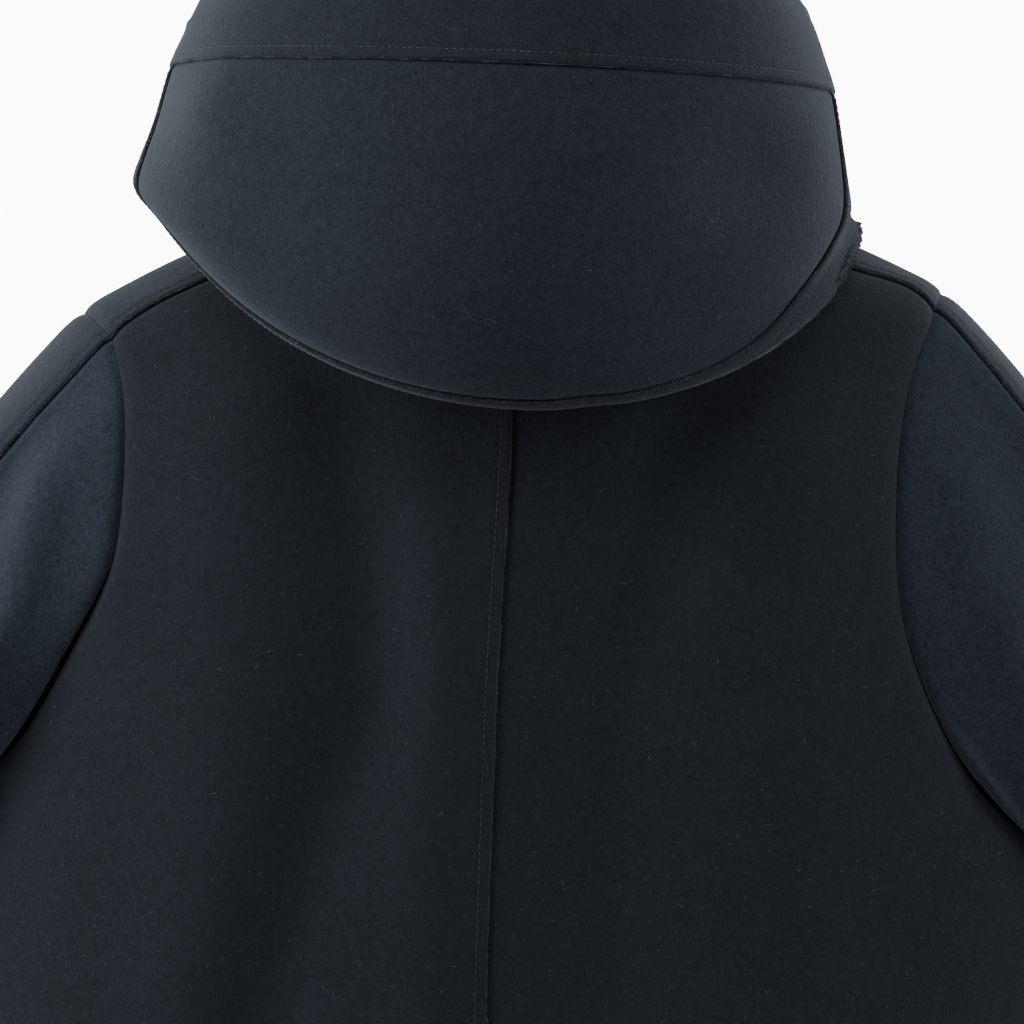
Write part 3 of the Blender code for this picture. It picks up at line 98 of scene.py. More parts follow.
HEM_Z = -0.865
TILT = 0.024              # the left shoulder hangs lower: drop for each metre of x
SPINE_Z = -0.20           # nets are settled on the form along rays from this height
FORM = table_of("z half_width back_depth front_depth power", (
    (0.060, 0.020, 0.020, 0.018, 2.00), (0.020, 0.052, 0.046, 0.040, 2.00),
    (0.000, 0.085, 0.064, 0.050, 2.00), (-0.012, 0.112, 0.071, 0.056, 2.00),
    (-0.031, 0.160, 0.079, 0.065, 2.00), (-0.045, 0.189, 0.084, 0.071, 2.02),
    (-0.055, 0.207, 0.087, 0.075, 2.05), (-0.075, 0.228, 0.092, 0.081, 2.10),
    (-0.130, 0.246, 0.102, 0.094, 2.15), (-0.200, 0.259, 0.108, 0.105, 2.20),
    (-0.310, 0.271, 0.113, 0.111, 2.20), (-0.450, 0.286, 0.122, 0.118, 2.20),
    (-0.650, 0.308, 0.138, 0.130, 2.15), (-0.865, 0.332, 0.155, 0.145, 2.10),
))
NECK_HALF_WIDTH = 0.085
NECK_BACK_Z = -0.020
NECK_FRONT_Z = -0.070
NECK_FALL = 1.6           # power of the neckline's fall from its sides to the centres
SEAM_AT_NECK = 0.37       # where the shoulder seam starts, as a share of the half neckline

# Shoulder seams behind the ridge of the shoulder, from the neck outward
SHOULDER_SEAM = {
    "left": table_of("x z", (
        (0.1100, -0.0285), (0.1434, -0.0463), (0.1698, -0.0588), (0.1905, -0.0730),
    )),
    "right": table_of("x z", (
        (-0.1150, -0.0225), (-0.1647, -0.0423), (-0.1884, -0.0495), (-0.2018, -0.0590),
    )),
}
# Where the armhole crosses the ridge of the shoulder
SHOULDER_POINT = {"left": dict(x=0.2058, z=-0.0608), "right": dict(x=-0.2077, z=-0.0507)}
ARMPIT_Z = {"left": -0.305, "right": -0.330}
ARMPIT_REACH = 0.27       # the shoulders' tilt at an armpit is taken this far out
BACK_ARMHOLE = {
    "left": table_of("x z", (
        (0.1837, -0.1042), (0.1847, -0.1605), (0.1931, -0.1933), (0.2150, -0.2340),
        (0.2400, -0.2707),
    )),
    "right": table_of("x z", (
        (-0.1889, -0.0949), (-0.1809, -0.1550), (-0.1842, -0.2074), (-0.2053, -0.2636),
        (-0.2400, -0.3058),
    )),
}
# share: drop below the shoulder point, as a share of the drop to the armpit
FRONT_ARMHOLE = table_of("share x", (
    (0.12, 0.1960), (0.30, 0.1830), (0.52, 0.1800), (0.74, 0.1950), (0.90, 0.2300),
))
# The raw edge on the centre back runs a little to the wearer's left
CENTRE_BACK = table_of("z x", (
    (0.0000, -0.0010), (-0.1085, 0.0000), (-0.2440, 0.0065), (-0.3940, 0.0102),
    (-0.8650, 0.0120),
))
FRONT_LAP = 0.030         # each front reaches this far past the centre
FRONT_RAMP = 0.022        # the right front comes back down to the form over this width
RAMP_AWAY = 0.006         # the fronts' close columns end this far past it
FRONT_NEAR = (0.0, 0.0006, 0.0015, 0.004, 0.008, 0.013, 0.019, 0.025)
FRONT_LAP_COLUMNS = 16    # close columns from the centre front to the end of the ramp
FRONT_PAST_COLUMNS = 12   # points of a row's line past the centre front
FIRST_STEPS = 0.024       # columns this near the top of a sleeve keep their real distances

# Rows and columns of the nets
SHOULDER_ROWS = 26
ARM_STEPS = 52
BACK_SPANS = len(NEAR) + ARM_STEPS
BODY_ROWS = 104
SHOULDER_ROW_BACK_Z = -0.112
SHOULDER_ROW_FRONT_Z = -0.130
BACK_COLUMNS = 46
FRONT_COLUMNS = 46
DENSE = 160               # points on a line of a net before it is shared out
PIT_ROW_Z = -0.325        # level at the centre of the row that ends at the armpit
ROW_BOW_FADE = 1.5        # how soon the rows below the neck lose its curve
LEAST_HALF = 0.004        # the form is nowhere thinner than twice this
NORMAL_STEP = 0.0005
SLOPE_STEP = 0.001
LEAST_SLOPE = 1e-6
SETTLE_STEPS = 40
SETTLE_SHARES = (0.05, 8.0)    # the form lies between these shares of a ray
SIDE_RAY = 0.3            # points of the sides and of the centres are settled from this far out
CENTRE_RAY = 0.1
CHUNK = 4000              # distances are measured for this many points at once
FAR = 1.0                 # stands for a seam that is out of reach
RIM_ANGLE = 0.9           # faces that meet at more than this stay sharp
ARMHOLE_BLEND = 0.012     # panel and sleeve share the way through the wall up to here
STRIP_INSET = 0.0008

# The right front lies on the left one: how far out, by the distance from its edge
FRONT_OVERLAP = table_of("d rise", (
    (0.000, 0.0036), (0.066, 0.0036), (0.088, 0.0000),
))
# A cut edge with nothing under it is a little rounded
CUT_EDGE = table_of("d drop", (
    (0.0000, 0.0006), (0.0006, 0.0002), (0.0015, 0.0000),
))


# ---------------------------------------------------------------- curves

def smooth(table, key, column, at):
    """Value of a table's column at the given keys, on a curve that never overshoots."""
    rows = sorted(table, key=lambda row: row[key])
    xs = np.array([row[key] for row in rows])
    ys = np.array([row[column] for row in rows])
    gaps = np.diff(xs)
    slopes = np.diff(ys) / gaps
    tangents = np.empty_like(ys)
    tangents[0] = slopes[0]
    tangents[-1] = slopes[-1]
    product = slopes[:-1] * slopes[1:]
    total = slopes[:-1] + slopes[1:]
    safe = np.where(np.abs(total) < 1e-12, 1.0, total)
    tangents[1:-1] = np.where(product > 0, 2.0 * product / safe, 0.0)
    at = np.asarray(at, dtype=float)
    held = np.clip(at, xs[0], xs[-1])
    span = np.clip(np.searchsorted(xs, held, side="right") - 1, 0, len(gaps) - 1)
    t = (held - xs[span]) / gaps[span]
    low = ys[span] * (1 + 2 * t) * (1 - t) ** 2 + gaps[span] * tangents[span] * t * (1 - t) ** 2
    high = ys[span + 1] * t * t * (3 - 2 * t) - gaps[span] * tangents[span + 1] * t * t * (1 - t)
    beyond = (at - held) * np.where(at < xs[0], tangents[0], tangents[-1])
    return low + high + beyond


def unit(vectors):
    lengths = np.linalg.norm(vectors, axis=-1, keepdims=True)
    return vectors / np.maximum(lengths, 1e-12)


def lengths_along(points):
    steps = np.linalg.norm(np.diff(points, axis=0), axis=1)
    return np.concatenate([[0.0], np.cumsum(steps)])


def at_lengths(points, distances):
    """Points at the given distances along a line, straight on past its ends."""
    run = lengths_along(points)
    distances = np.asarray(distances, dtype=float)
    held = np.clip(distances, 0.0, run[-1])
    found = np.stack([np.interp(held, run, points[:, axis]) for axis in range(3)], axis=1)
    start = unit(points[1] - points[0])
    end = unit(points[-1] - points[-2])
    found += np.minimum(distances, 0.0)[:, None] * start
    found += np.maximum(distances - run[-1], 0.0)[:, None] * end
    return found


def curve_through(points, count=DENSE):
    """A natural cubic curve through the points, as a dense line."""
    points = np.asarray(points, dtype=float)
    keys = np.sqrt(np.linalg.norm(np.diff(points, axis=0), axis=1))
    keys = np.concatenate([[0.0], np.cumsum(keys)])
    gaps = np.diff(keys)
    size = len(points)
    matrix = np.eye(size)
    right = np.zeros((size, 3))
    slopes = np.diff(points, axis=0) / gaps[:, None]
    for i in range(1, size - 1):
        matrix[i, i - 1:i + 2] = (gaps[i - 1], 2 * (gaps[i - 1] + gaps[i]), gaps[i])
        right[i] = 6 * (slopes[i] - slopes[i - 1])
    bends = np.linalg.solve(matrix, right)
    at = np.linspace(0.0, keys[-1], count)
    span = np.clip(np.searchsorted(keys, at, side="right") - 1, 0, size - 2)
    a = ((keys[span + 1] - at) / gaps[span])[:, None]
    b = 1 - a
    square = (gaps[span] ** 2)[:, None] / 6
    line = a * points[span] + b * points[span + 1]
    return line + square * ((a ** 3 - a) * bends[span] + (b ** 3 - b) * bends[span + 1])


# ---------------------------------------------------------------- the body's form

def form_value(points):
    """Below zero inside the body's form, zero on it."""
    x, y, z = points[..., 0], points[..., 1], points[..., 2]
    level = z + TILT * x
    wide = np.maximum(smooth(FORM, "z", "half_width", level), LEAST_HALF)
    back = smooth(FORM, "z", "back_depth", level)
    front = smooth(FORM, "z", "front_depth", level)
    deep = np.maximum(np.where(y >= 0, back, front), LEAST_HALF)
    power = smooth(FORM, "z", "power", level)
    return np.abs(x / wide) ** power + np.abs(y / deep) ** power - 1.0


def form_normal(points):
    gradient = np.empty_like(points)
    for axis in range(3):
        shift = np.zeros(3)
        shift[axis] = NORMAL_STEP
        gradient[..., axis] = form_value(points + shift) - form_value(points - shift)
    return unit(gradient)


def height_over(points, way):
    """About how far each point lies off the form, measured along the form's way out."""
    rise = form_value(points + way * SLOPE_STEP) - form_value(points - way * SLOPE_STEP)
    return form_value(points) / np.maximum(rise / (2 * SLOPE_STEP), LEAST_SLOPE)


def settle(points):
    """Move points onto the form along rays from the spine."""
    points = np.asarray(points, dtype=float)
    centre = np.zeros_like(points)
    centre[..., 2] = np.minimum(points[..., 2], SPINE_Z)
    ray = points - centre
    low = np.full(points.shape[:-1], SETTLE_SHARES[0])
    high = np.full(points.shape[:-1], SETTLE_SHARES[1])
    for _ in range(SETTLE_STEPS):
        middle = (low + high) / 2
        outside = form_value(centre + ray * middle[..., None]) > 0
        high = np.where(outside, middle, high)
        low = np.where(outside, low, middle)
    return centre + ray * ((low + high) / 2)[..., None]


def on_form(x, z, face):
    """The point of the form at x and z: face is 1 on the back and -1 on the front."""
    level = z + TILT * x
    power = float(smooth(FORM, "z", "power", level))
    wide = float(smooth(FORM, "z", "half_width", level))
    column = "back_depth" if face > 0 else "front_depth"
    deep = float(smooth(FORM, "z", column, level))
    share = max(0.0, 1.0 - abs(x / wide) ** power)
    return np.array([x, face * deep * share ** (1.0 / power), z])


# ---------------------------------------------------------------- edges of the body panels

def sign(side):
    return 1.0 if side == "left" else -1.0


@functools.cache
def neckline(side):
    """Half of the neck edge, from the centre back to the centre front."""
    points = []
    for turn in np.linspace(0.0, np.pi, DENSE):
        face = 1 if turn < np.pi / 2 else -1
        x = sign(side) * NECK_HALF_WIDTH * np.sin(turn)
        fall = NECK_BACK_Z if face > 0 else NECK_FRONT_Z
        z = fall * abs(np.cos(turn)) ** NECK_FALL - TILT * x
        points.append(on_form(x, z, face))
    return np.array(points)


def neck_parts(side):
    """The neck edge of the back and of the front, parted at the shoulder seam."""
    line = neckline(side)
    total = lengths_along(line)[-1]
    cut = total * SEAM_AT_NECK
    back = at_lengths(line, np.linspace(0.0, cut, DENSE))
    front = at_lengths(line, np.linspace(cut, total, DENSE))
    return back, front


@functools.cache
def shoulder_seam(side):
    start = neck_parts(side)[0][-1]
    points = [start] + [on_form(row["x"], row["z"], 1) for row in SHOULDER_SEAM[side]]
    return settle(curve_through(points))


def armpit(side):
    z = ARMPIT_Z[side]
    wide = float(smooth(FORM, "z", "half_width", z + TILT * sign(side) * ARMPIT_REACH))
    return np.array([sign(side) * wide, 0.0, z])


@functools.cache
def back_armhole(side):
    points = [shoulder_seam(side)[-1]]
    points += [on_form(row["x"], row["z"], 1) for row in BACK_ARMHOLE[side]]
    return settle(curve_through(points + [armpit(side)]))


@functools.cache
def front_armhole(side):
    top = SHOULDER_POINT[side]
    drop = top["z"] - ARMPIT_Z[side]
    points = [shoulder_seam(side)[-1], np.array([top["x"], 0.0, top["z"]])]
    for row in FRONT_ARMHOLE:
        points.append(on_form(sign(side) * row["x"], top["z"] - drop * row["share"], -1))
    return settle(curve_through(points + [armpit(side)]))


def armhole_line(side, face):
    return back_armhole(side) if face > 0 else front_armhole(side)


def steps_from_seam(total, count):
    """Distances away from a seam: close together beside it, then this many even ones."""
    return np.concatenate([NEAR, np.linspace(NEAR[-1], total, count + 1)[1:]])


def armhole_steps(line):
    """Distances of the rows down an armhole from the shoulder seam."""
    return steps_from_seam(lengths_along(line)[-1], ARM_STEPS + 1)


def armhole_rows(side, face):
    line = armhole_line(side, face)
    return at_lengths(line, armhole_steps(line))


def side_rows(side):
    """Points down the side from the armpit to the hem."""
    levels = np.linspace(ARMPIT_Z[side], HEM_Z, BODY_ROWS + 1)[1:]
    points = np.stack([np.full_like(levels, sign(side) * SIDE_RAY), 0 * levels, levels], axis=1)
    return settle(points)


def outer_edge(side, face):
    """Shoulder seam, armhole and side of one panel, a point for each row of its net."""
    seam = shoulder_seam(side)
    shoulder = at_lengths(seam, np.linspace(0, lengths_along(seam)[-1], SHOULDER_ROWS + 1))
    return np.concatenate([shoulder[:-1], armhole_rows(side, face), side_rows(side)])


def centre_levels(side, face, top, shoulder, pit):
    steps = armhole_steps(armhole_line(side, face))
    upper = np.linspace(top, shoulder, SHOULDER_ROWS + 1)
    middle = shoulder + (pit - shoulder) * steps / steps[-1]
    lower = np.linspace(pit, HEM_Z, BODY_ROWS + 1)
    return np.concatenate([upper[:-1], middle[:-1], lower])


def centre_back_edge(side):
    levels = centre_levels(side, 1, NECK_BACK_Z, SHOULDER_ROW_BACK_Z, PIT_ROW_Z)
    x = smooth(CENTRE_BACK, "z", "x", levels)
    return settle(np.stack([x, np.full_like(x, CENTRE_RAY), levels], axis=1))


def centre_front_edge(side):
    levels = centre_levels(side, -1, NECK_FRONT_Z, SHOULDER_ROW_FRONT_Z, PIT_ROW_Z)
    return settle(np.stack([0 * levels, np.full_like(levels, -CENTRE_RAY), levels], axis=1))


@functools.cache
def row_lines(side, face):
    """The rows of a panel's net as dense lines on the form, from the centre outward."""
    outer = outer_edge(side, face)
    centre = centre_back_edge(side) if face > 0 else centre_front_edge(side)
    neck = neck_parts(side)[0] if face > 0 else neck_parts(side)[1][::-1]
    share = np.linspace(0.0, 1.0, DENSE)[:, None]
    bow = neck - (centre[0] + share * (neck[-1] - centre[0]))
    rows = np.arange(len(outer))
    fade = np.maximum(0.0, 1.0 - rows / SHOULDER_ROWS) ** ROW_BOW_FADE
    lines = centre[:, None] + share * (outer - centre)[:, None]
    return settle(lines + fade[:, None, None] * bow)


# ---------------------------------------------------------------- folds

# Soft troughs (positive) and ridges (negative) of the body, as depths along a path
FOLDS = table_of("name face x z depth width", (
    ("left blade trough", 1, (0.080, 0.070, 0.066, 0.088, 0.113, 0.150),
     (-0.10, -0.165, -0.235, -0.300, -0.388, -0.600), 0.0055, 0.026),
    ("right blade trough", 1, (-0.074, -0.066, -0.050, -0.043, -0.041, -0.060),
     (-0.10, -0.165, -0.220, -0.290, -0.383, -0.600), 0.0065, 0.026),
    ("left blade", 1, (0.135, 0.132, 0.140, 0.160),
     (-0.10, -0.20, -0.32, -0.45), -0.0050, 0.034),
    ("right blade", 1, (-0.130, -0.128, -0.125, -0.130),
     (-0.10, -0.20, -0.32, -0.45), -0.0050, 0.036),
    ("centre ridge", 1, (0.036, 0.034, 0.038, 0.045),
     (-0.16, -0.24, -0.36, -0.60), -0.0040, 0.020),
    ("left hem wave", 1, (0.120, 0.140, 0.160),
     (-0.42, -0.65, -0.90), 0.0110, 0.032),
    ("right hem wave", 1, (-0.070, -0.095, -0.120),
     (-0.42, -0.65, -0.90), 0.0120, 0.034),
    ("left side wave", 1, (0.215, 0.235, 0.250),
     (-0.40, -0.65, -0.90), -0.0080, 0.034),
    ("right side wave", 1, (-0.190, -0.215, -0.235),
     (-0.40, -0.65, -0.90), -0.0080, 0.034),
    ("left front trough", -1, (0.120, 0.135, 0.160),
     (-0.24, -0.50, -0.90), 0.0100, 0.032),
    ("right front trough", -1, (-0.125, -0.150, -0.180),
     (-0.22, -0.50, -0.90), 0.0110, 0.034),
    ("left front ridge", -1, (0.190, 0.215, 0.240),
     (-0.30, -0.55, -0.90), -0.0080, 0.032),
    ("right front ridge", -1, (-0.205, -0.225, -0.245),
     (-0.32, -0.55, -0.90), -0.0080, 0.032),
))
FOLD_RUN_IN = 0.060       # a fold reaches its depth over this height
FOLD_FACING = 0.03        # and over this depth from the plane between back and front


def fold_shares(fold, points):
    """A fold's shares of its depth: across its path, and on the face that it is on."""
    x, y, z = points[..., 0], points[..., 1], points[..., 2]
    path = [dict(z=level, x=place) for level, place in zip(fold["z"], fold["x"])]
    across = np.exp(-((x - smooth(path, "z", "x", z)) / fold["width"]) ** 2)
    return across, np.clip(y * fold["face"] / FOLD_FACING, 0.0, 1.0)


def fold_depth(points):
    """How far the form is pushed in at each point."""
    z = points[..., 2]
    total = np.zeros(z.shape)
    for fold in FOLDS:
        across, facing = fold_shares(fold, points)
        top, foot = max(fold["z"]), min(fold["z"])
        start = np.clip((top + FOLD_RUN_IN / 2 - z) / FOLD_RUN_IN, 0.0, 1.0)
        end = np.clip((z - foot + FOLD_RUN_IN / 2) / FOLD_RUN_IN, 0.0, 1.0)
        along = (start * start * (3 - 2 * start)) * (end * end * (3 - 2 * end))
        total += fold["depth"] * across * along * facing
    return total


# ---------------------------------------------------------------- nets and shells

def profile(table, column, distance):
    """A value of a seam's table by distance, held past its last row."""
    keys = [row["d"] for row in table]
    return smooth(table, "d", column, np.clip(distance, keys[0], keys[-1]))


def nearest(points, line):
    """Distance of every point from a line of points."""
    flat = points.reshape(-1, 3)
    starts, steps = line[:-1], np.diff(line, axis=0)
    spans = np.maximum(np.sum(steps * steps, axis=1), 1e-18)
    found = np.empty(len(flat))
    for start in range(0, len(flat), CHUNK):
        part = flat[start:start + CHUNK]
        gap = part[:, None] - starts[None]
        t = np.clip(np.sum(gap * steps, axis=2) / spans, 0.0, 1.0)
        off = gap - t[..., None] * steps
        found[start:start + CHUNK] = np.sqrt(np.sum(off * off, axis=2)).min(axis=1)
    return found.reshape(points.shape[:-1])


class Net:
    """A grid of points on a panel's form, with the way out and the heights of both faces."""

    def __init__(self, base, way):
        shape = base.shape[:2]
        self.base = base
        self.way = way
        self.outer = np.zeros(shape)
        self.inner = np.full(shape, -WALL)
        self.present = np.ones((shape[0] - 1, shape[1] - 1), dtype=bool)

    def lap(self, distance):
        """The panel's raw edge lies over another panel."""
        self.outer += profile(LAP_PROFILE, "outer", distance)
        self.inner += profile(LAP_PROFILE, "inner", distance) + WALL

    def under(self, distance):
        """Another panel's raw edge lies over this one: distances under it are below zero."""
        self.outer += profile(UNDER_PROFILE, "outer", distance)
        self.inner += profile(UNDER_PROFILE, "inner", distance) + WALL

    def sink(self, depth):
        self.outer -= depth
        self.inner -= depth

    def faces(self):
        """Points of the outer face and of the inner one."""
        return (self.base + self.way * self.outer[..., None],
                self.base + self.way * self.inner[..., None])


def grid_quads(rows, columns):
    """The corners of every square of a grid of points."""
    index = np.arange(rows * columns).reshape(rows, columns)
    return np.stack([index[:-1, :-1], index[:-1, 1:], index[1:, 1:], index[1:, :-1]], axis=-1)


def shell_mesh(name, net, flip):
    """A closed thin shell between both faces of a net, with rims round its edges."""
    outer, inner = net.faces()
    rows, columns = outer.shape[:2]
    quads = grid_quads(rows, columns)[net.present]
    if flip:
        quads = quads[:, ::-1]
    edges = np.stack([quads, np.roll(quads, -1, axis=1)], axis=-1).reshape(-1, 2)
    where, counts = np.unique(np.sort(edges, axis=1), axis=0,
                              return_index=True, return_counts=True)[1:]
    rim = edges[where[counts == 1]]
    shift = rows * columns
    walls = np.stack([rim[:, 1], rim[:, 0], rim[:, 0] + shift, rim[:, 1] + shift], axis=-1)
    faces = np.concatenate([quads, quads[:, ::-1] + shift, walls])
    points = np.concatenate([outer.reshape(-1, 3), inner.reshape(-1, 3)])
    used, faces = np.unique(faces, return_inverse=True)
    mesh = bpy.data.meshes.new(name)
    mesh.from_pydata(points[used].tolist(), [], faces.reshape(-1, 4).tolist())
    maker = bmesh.new()
    maker.from_mesh(mesh)
    bmesh.ops.recalc_face_normals(maker, faces=maker.faces[:])
    maker.to_mesh(mesh)
    maker.free()
    mesh.shade_smooth()
    mesh.set_sharp_from_angle(angle=RIM_ANGLE)
    return mesh


# ---------------------------------------------------------------- body panels

def shared_columns(length, start, end, count):
    """Distances across a panel: its start and end columns, the rest even between them."""
    start = np.array(start)
    end = length - np.array(end)
    middle = np.linspace(start[-1], end[0], count + 2)[1:-1]
    return np.concatenate([start, middle, end])


def folded(points):
    way = form_normal(points)
    return points - way * fold_depth(points)[..., None], way


def body_seams(side, face):
    """The seams round a body panel, on the form before its folds."""
    return shoulder_seam(side), armhole_line(side, face), side_rows(side)


def blended_way(side, face, grid, way):
    """Near the armhole the way through the wall turns to the one shared with the sleeve."""
    rows = slice(SHOULDER_ROWS, SHOULDER_ROWS + BACK_SPANS + 1)
    shared = armhole_way(side, face)
    last = grid[rows, -1]
    off = np.linalg.norm(grid[rows] - last[:, None], axis=2)
    share = np.clip(1.0 - off / ARMHOLE_BLEND, 0.0, 1.0)[..., None] ** 2
    way = way.copy()
    way[rows] = unit(way[rows] * (1.0 - share) + shared[:, None] * share)
    return way


@functools.cache
def back_net(side):
    """From the centre back seam to the shoulder seam, armhole and side."""
    upper = side == "left"
    start = NEAR if upper else UNDER_NEAR
    rows = []
    for line in row_lines(side, 1):
        columns = shared_columns(lengths_along(line)[-1], start, DITCH_NEAR[::-1], BACK_COLUMNS)
        rows.append(at_lengths(line, columns))
    grid = settle(np.array(rows))
    seam, armhole, below = body_seams(side, 1)
    base, way = folded(grid)
    way = blended_way(side, 1, grid, way)
    hidden = grid[:, -1:] + 0.0
    inward = hidden_strip(side)
    hidden[:SHOULDER_ROWS + 1, 0] = inward
    halfway = grid[:, -1:] + 0.0
    halfway[:SHOULDER_ROWS + 1, 0] = (grid[:SHOULDER_ROWS + 1, -1] + inward) / 2
    strip, strip_way = folded(settle(np.concatenate([halfway, hidden], axis=1)))
    net = Net(np.concatenate([base, strip], axis=1), np.concatenate([way, strip_way], axis=1))
    places = np.concatenate([grid, halfway, hidden], axis=1)
    net.present[SHOULDER_ROWS:, -2:] = False
    off_centre = np.broadcast_to(np.array(start)[None], (len(grid), len(start)))
    distance = np.full(places.shape[:2], FAR)
    distance[:, :len(start)] = off_centre
    if upper:
        net.lap(distance)
    else:
        net.under(distance)
    off_seam = nearest(places, seam)
    off_seam[:, -2:] *= -1.0
    net.under(np.where(off_seam > 0, np.maximum(off_seam, UNDER_CLEAR), off_seam))
    net.sink(profile(ARMHOLE_DITCH, "depth", nearest(places, armhole)))
    net.sink(profile(SIDE_DITCH, "depth", nearest(places, below)))
    return net


def hidden_strip(side):
    """Far edge of the back's strip under the raw edge of the front."""
    seam = outer_edge(side, -1)[:SHOULDER_ROWS + 1]
    lines = row_lines(side, -1)[:SHOULDER_ROWS]
    points = [at_lengths(line[::-1], [LAP_UNDER])[0] for line in lines]
    corner = at_lengths(front_armhole(side), [LAP_UNDER])[0]
    points.append(corner + unit(seam[-2] - seam[-1]) * STRIP_INSET)
    return np.array(points)


@functools.cache
def front_net(side):
    """From past the centre front to the shoulder seam, armhole and side."""
    over = side == "right"
    flat = 2 * FRONT_LAP + FRONT_RAMP + RAMP_AWAY
    start = np.concatenate([FRONT_NEAR, np.linspace(FRONT_LAP, flat, FRONT_LAP_COLUMNS)])
    rows = []
    for line in row_lines(side, -1):
        near = at_lengths(line, np.linspace(FRONT_LAP / FRONT_PAST_COLUMNS, FRONT_LAP,
                                            FRONT_PAST_COLUMNS))
        past = near * np.array([-1.0, 1.0, 1.0])
        whole = np.concatenate([past[::-1], line])
        columns = shared_columns(lengths_along(whole)[-1], start, DITCH_NEAR[::-1],
                                 FRONT_COLUMNS)
        rows.append(at_lengths(whole, columns))
    grid = settle(np.array(rows))
    seam, armhole, below = body_seams(side, -1)
    base, way = folded(grid)
    net = Net(base, blended_way(side, -1, grid, way))
    edge = np.zeros(len(grid[0]))
    edge[:len(start)] = start
    edge[len(start):] = FAR
    if over:
        rise = profile(FRONT_OVERLAP, "rise", edge)
        net.outer += rise
        net.inner += rise
    net.outer -= profile(CUT_EDGE, "drop", edge)
    net.inner += profile(CUT_EDGE, "drop", edge)
    net.lap(nearest(grid, seam))
    net.sink(profile(ARMHOLE_DITCH, "depth", nearest(grid, armhole)))
    net.sink(profile(SIDE_DITCH, "depth", nearest(grid, below)))
    return net


# ---------------------------------------------------------------- sleeves

# Rings of a left sleeve below the armpit: drop below the armpit, centre and half sizes
SLEEVE_RINGS = table_of("drop x y half_width half_depth", (
    (0.036, 0.3360, 0.0000, 0.0520, 0.0660), (0.100, 0.3550, 0.0010, 0.0500, 0.0630),
    (0.160, 0.3710, 0.0000, 0.0480, 0.0600), (0.220, 0.3890, -0.0060, 0.0460, 0.0560),
    (0.285, 0.4080, -0.0160, 0.0440, 0.0530),
))
SLEEVE_TOP_ANGLE = 0.36   # the outer seam sits this far behind the outermost line, in radians
CAP_ROWS = 34             # rows of the net from the armhole's ditch to the first ring
ARM_ROWS = 46
CAP_BREAK = 0.42          # how much of the turn down over the shoulder is made at the seam
CAP_BREAK_LIMIT = {"left": -0.25, "right": -0.12}    # radians: the right cap is the fuller
CAP_PULL = (0.80, 0.90)   # length of the loft's tangents at the armhole and at the first ring
UNDERARM_SHARE = 0.42     # this share of the armhole, at the armpit, is held off the body
UNDERARM_GAP = 0.007
UNDERARM_SPREAD = 0.40    # how fast the sleeve leaves the body below the armhole
UNDERARM_FADE = 0.08      # share of the armhole over which it is let go again
RING_STEP = 0.01          # a ring's axis is taken over this much of the sleeve, up and down
CAP_LEAST_RISE = 0.004    # radial rise that a cap's line keeps where it starts inward
SLEEVE_FOLD_RUN_IN = 0.05
SLEEVE_FOLDS = table_of("name side face x z depth width", (
    ("cap fold", "left", 1, (0.200, 0.222, 0.232, 0.262, 0.300),
     (-0.110, -0.150, -0.195, -0.250, -0.310), -0.0052, 0.012),
    ("cap hollow", "left", 1, (0.232, 0.246, 0.262, 0.290, 0.320),
     (-0.110, -0.150, -0.195, -0.250, -0.310), 0.0055, 0.013),
    ("cap fold", "right", 1, (-0.206, -0.214, -0.232, -0.262, -0.300),
     (-0.110, -0.160, -0.215, -0.280, -0.340), -0.0030, 0.013),
    ("cap hollow", "right", 1, (-0.238, -0.246, -0.262, -0.290, -0.325),
     (-0.110, -0.160, -0.215, -0.280, -0.340), 0.0030, 0.013),
))


def armhole_loop(side):
    """Points round the armhole with the body's outward way and the way out of the panel."""
    back, front = armhole_rows(side, 1), armhole_rows(side, -1)
    loop = np.concatenate([back, front[-2:0:-1]])
    base, way = folded(loop)
    around = unit(np.roll(base, -1, axis=0) - np.roll(base, 1, axis=0))
    out = unit(np.cross(around, way))
    out *= np.sign(out[BACK_SPANS, 2])
    return base, way, around, out


def ring_frame(side, drop):
    x = float(smooth(SLEEVE_RINGS, "drop", "x", drop))
    y = float(smooth(SLEEVE_RINGS, "drop", "y", drop))
    return np.array([sign(side) * x, y, ARMPIT_Z[side] - drop])


def ring_points(side, drop, angles):
    centre = ring_frame(side, drop)
    axis = unit(ring_frame(side, drop + RING_STEP) - ring_frame(side, drop - RING_STEP))
    outward = unit(np.cross(axis, np.array([0.0, 1.0, 0.0])))
    outward *= np.sign(outward[0]) * sign(side)
    backward = np.cross(axis, outward)
    backward *= np.sign(backward[1])
    wide = float(smooth(SLEEVE_RINGS, "drop", "half_width", drop))
    deep = float(smooth(SLEEVE_RINGS, "drop", "half_depth", drop))
    across = np.cos(angles)[:, None] * wide * outward
    along = np.sin(angles)[:, None] * deep * backward
    return centre + across + along, axis


def ring_distances(total, steps):
    """Columns round half a ring: the first at real distances, the rest in proportion."""
    share = (steps - FIRST_STEPS) / (steps[-1] - FIRST_STEPS)
    return np.where(steps < FIRST_STEPS, steps, FIRST_STEPS + share * (total - FIRST_STEPS))


def sleeve_ring(side, drop):
    """One ring, its points matched to the points of the armhole."""
    halves = []
    for face, end in ((1, np.pi), (-1, -np.pi)):
        angles = np.linspace(SLEEVE_TOP_ANGLE, end, DENSE)
        line, axis = ring_points(side, drop, angles)
        steps = armhole_steps(armhole_line(side, face))
        wanted = ring_distances(lengths_along(line)[-1], steps)
        halves.append(at_lengths(line, wanted))
    back, front = halves
    return np.concatenate([back, front[-2:0:-1]]), axis


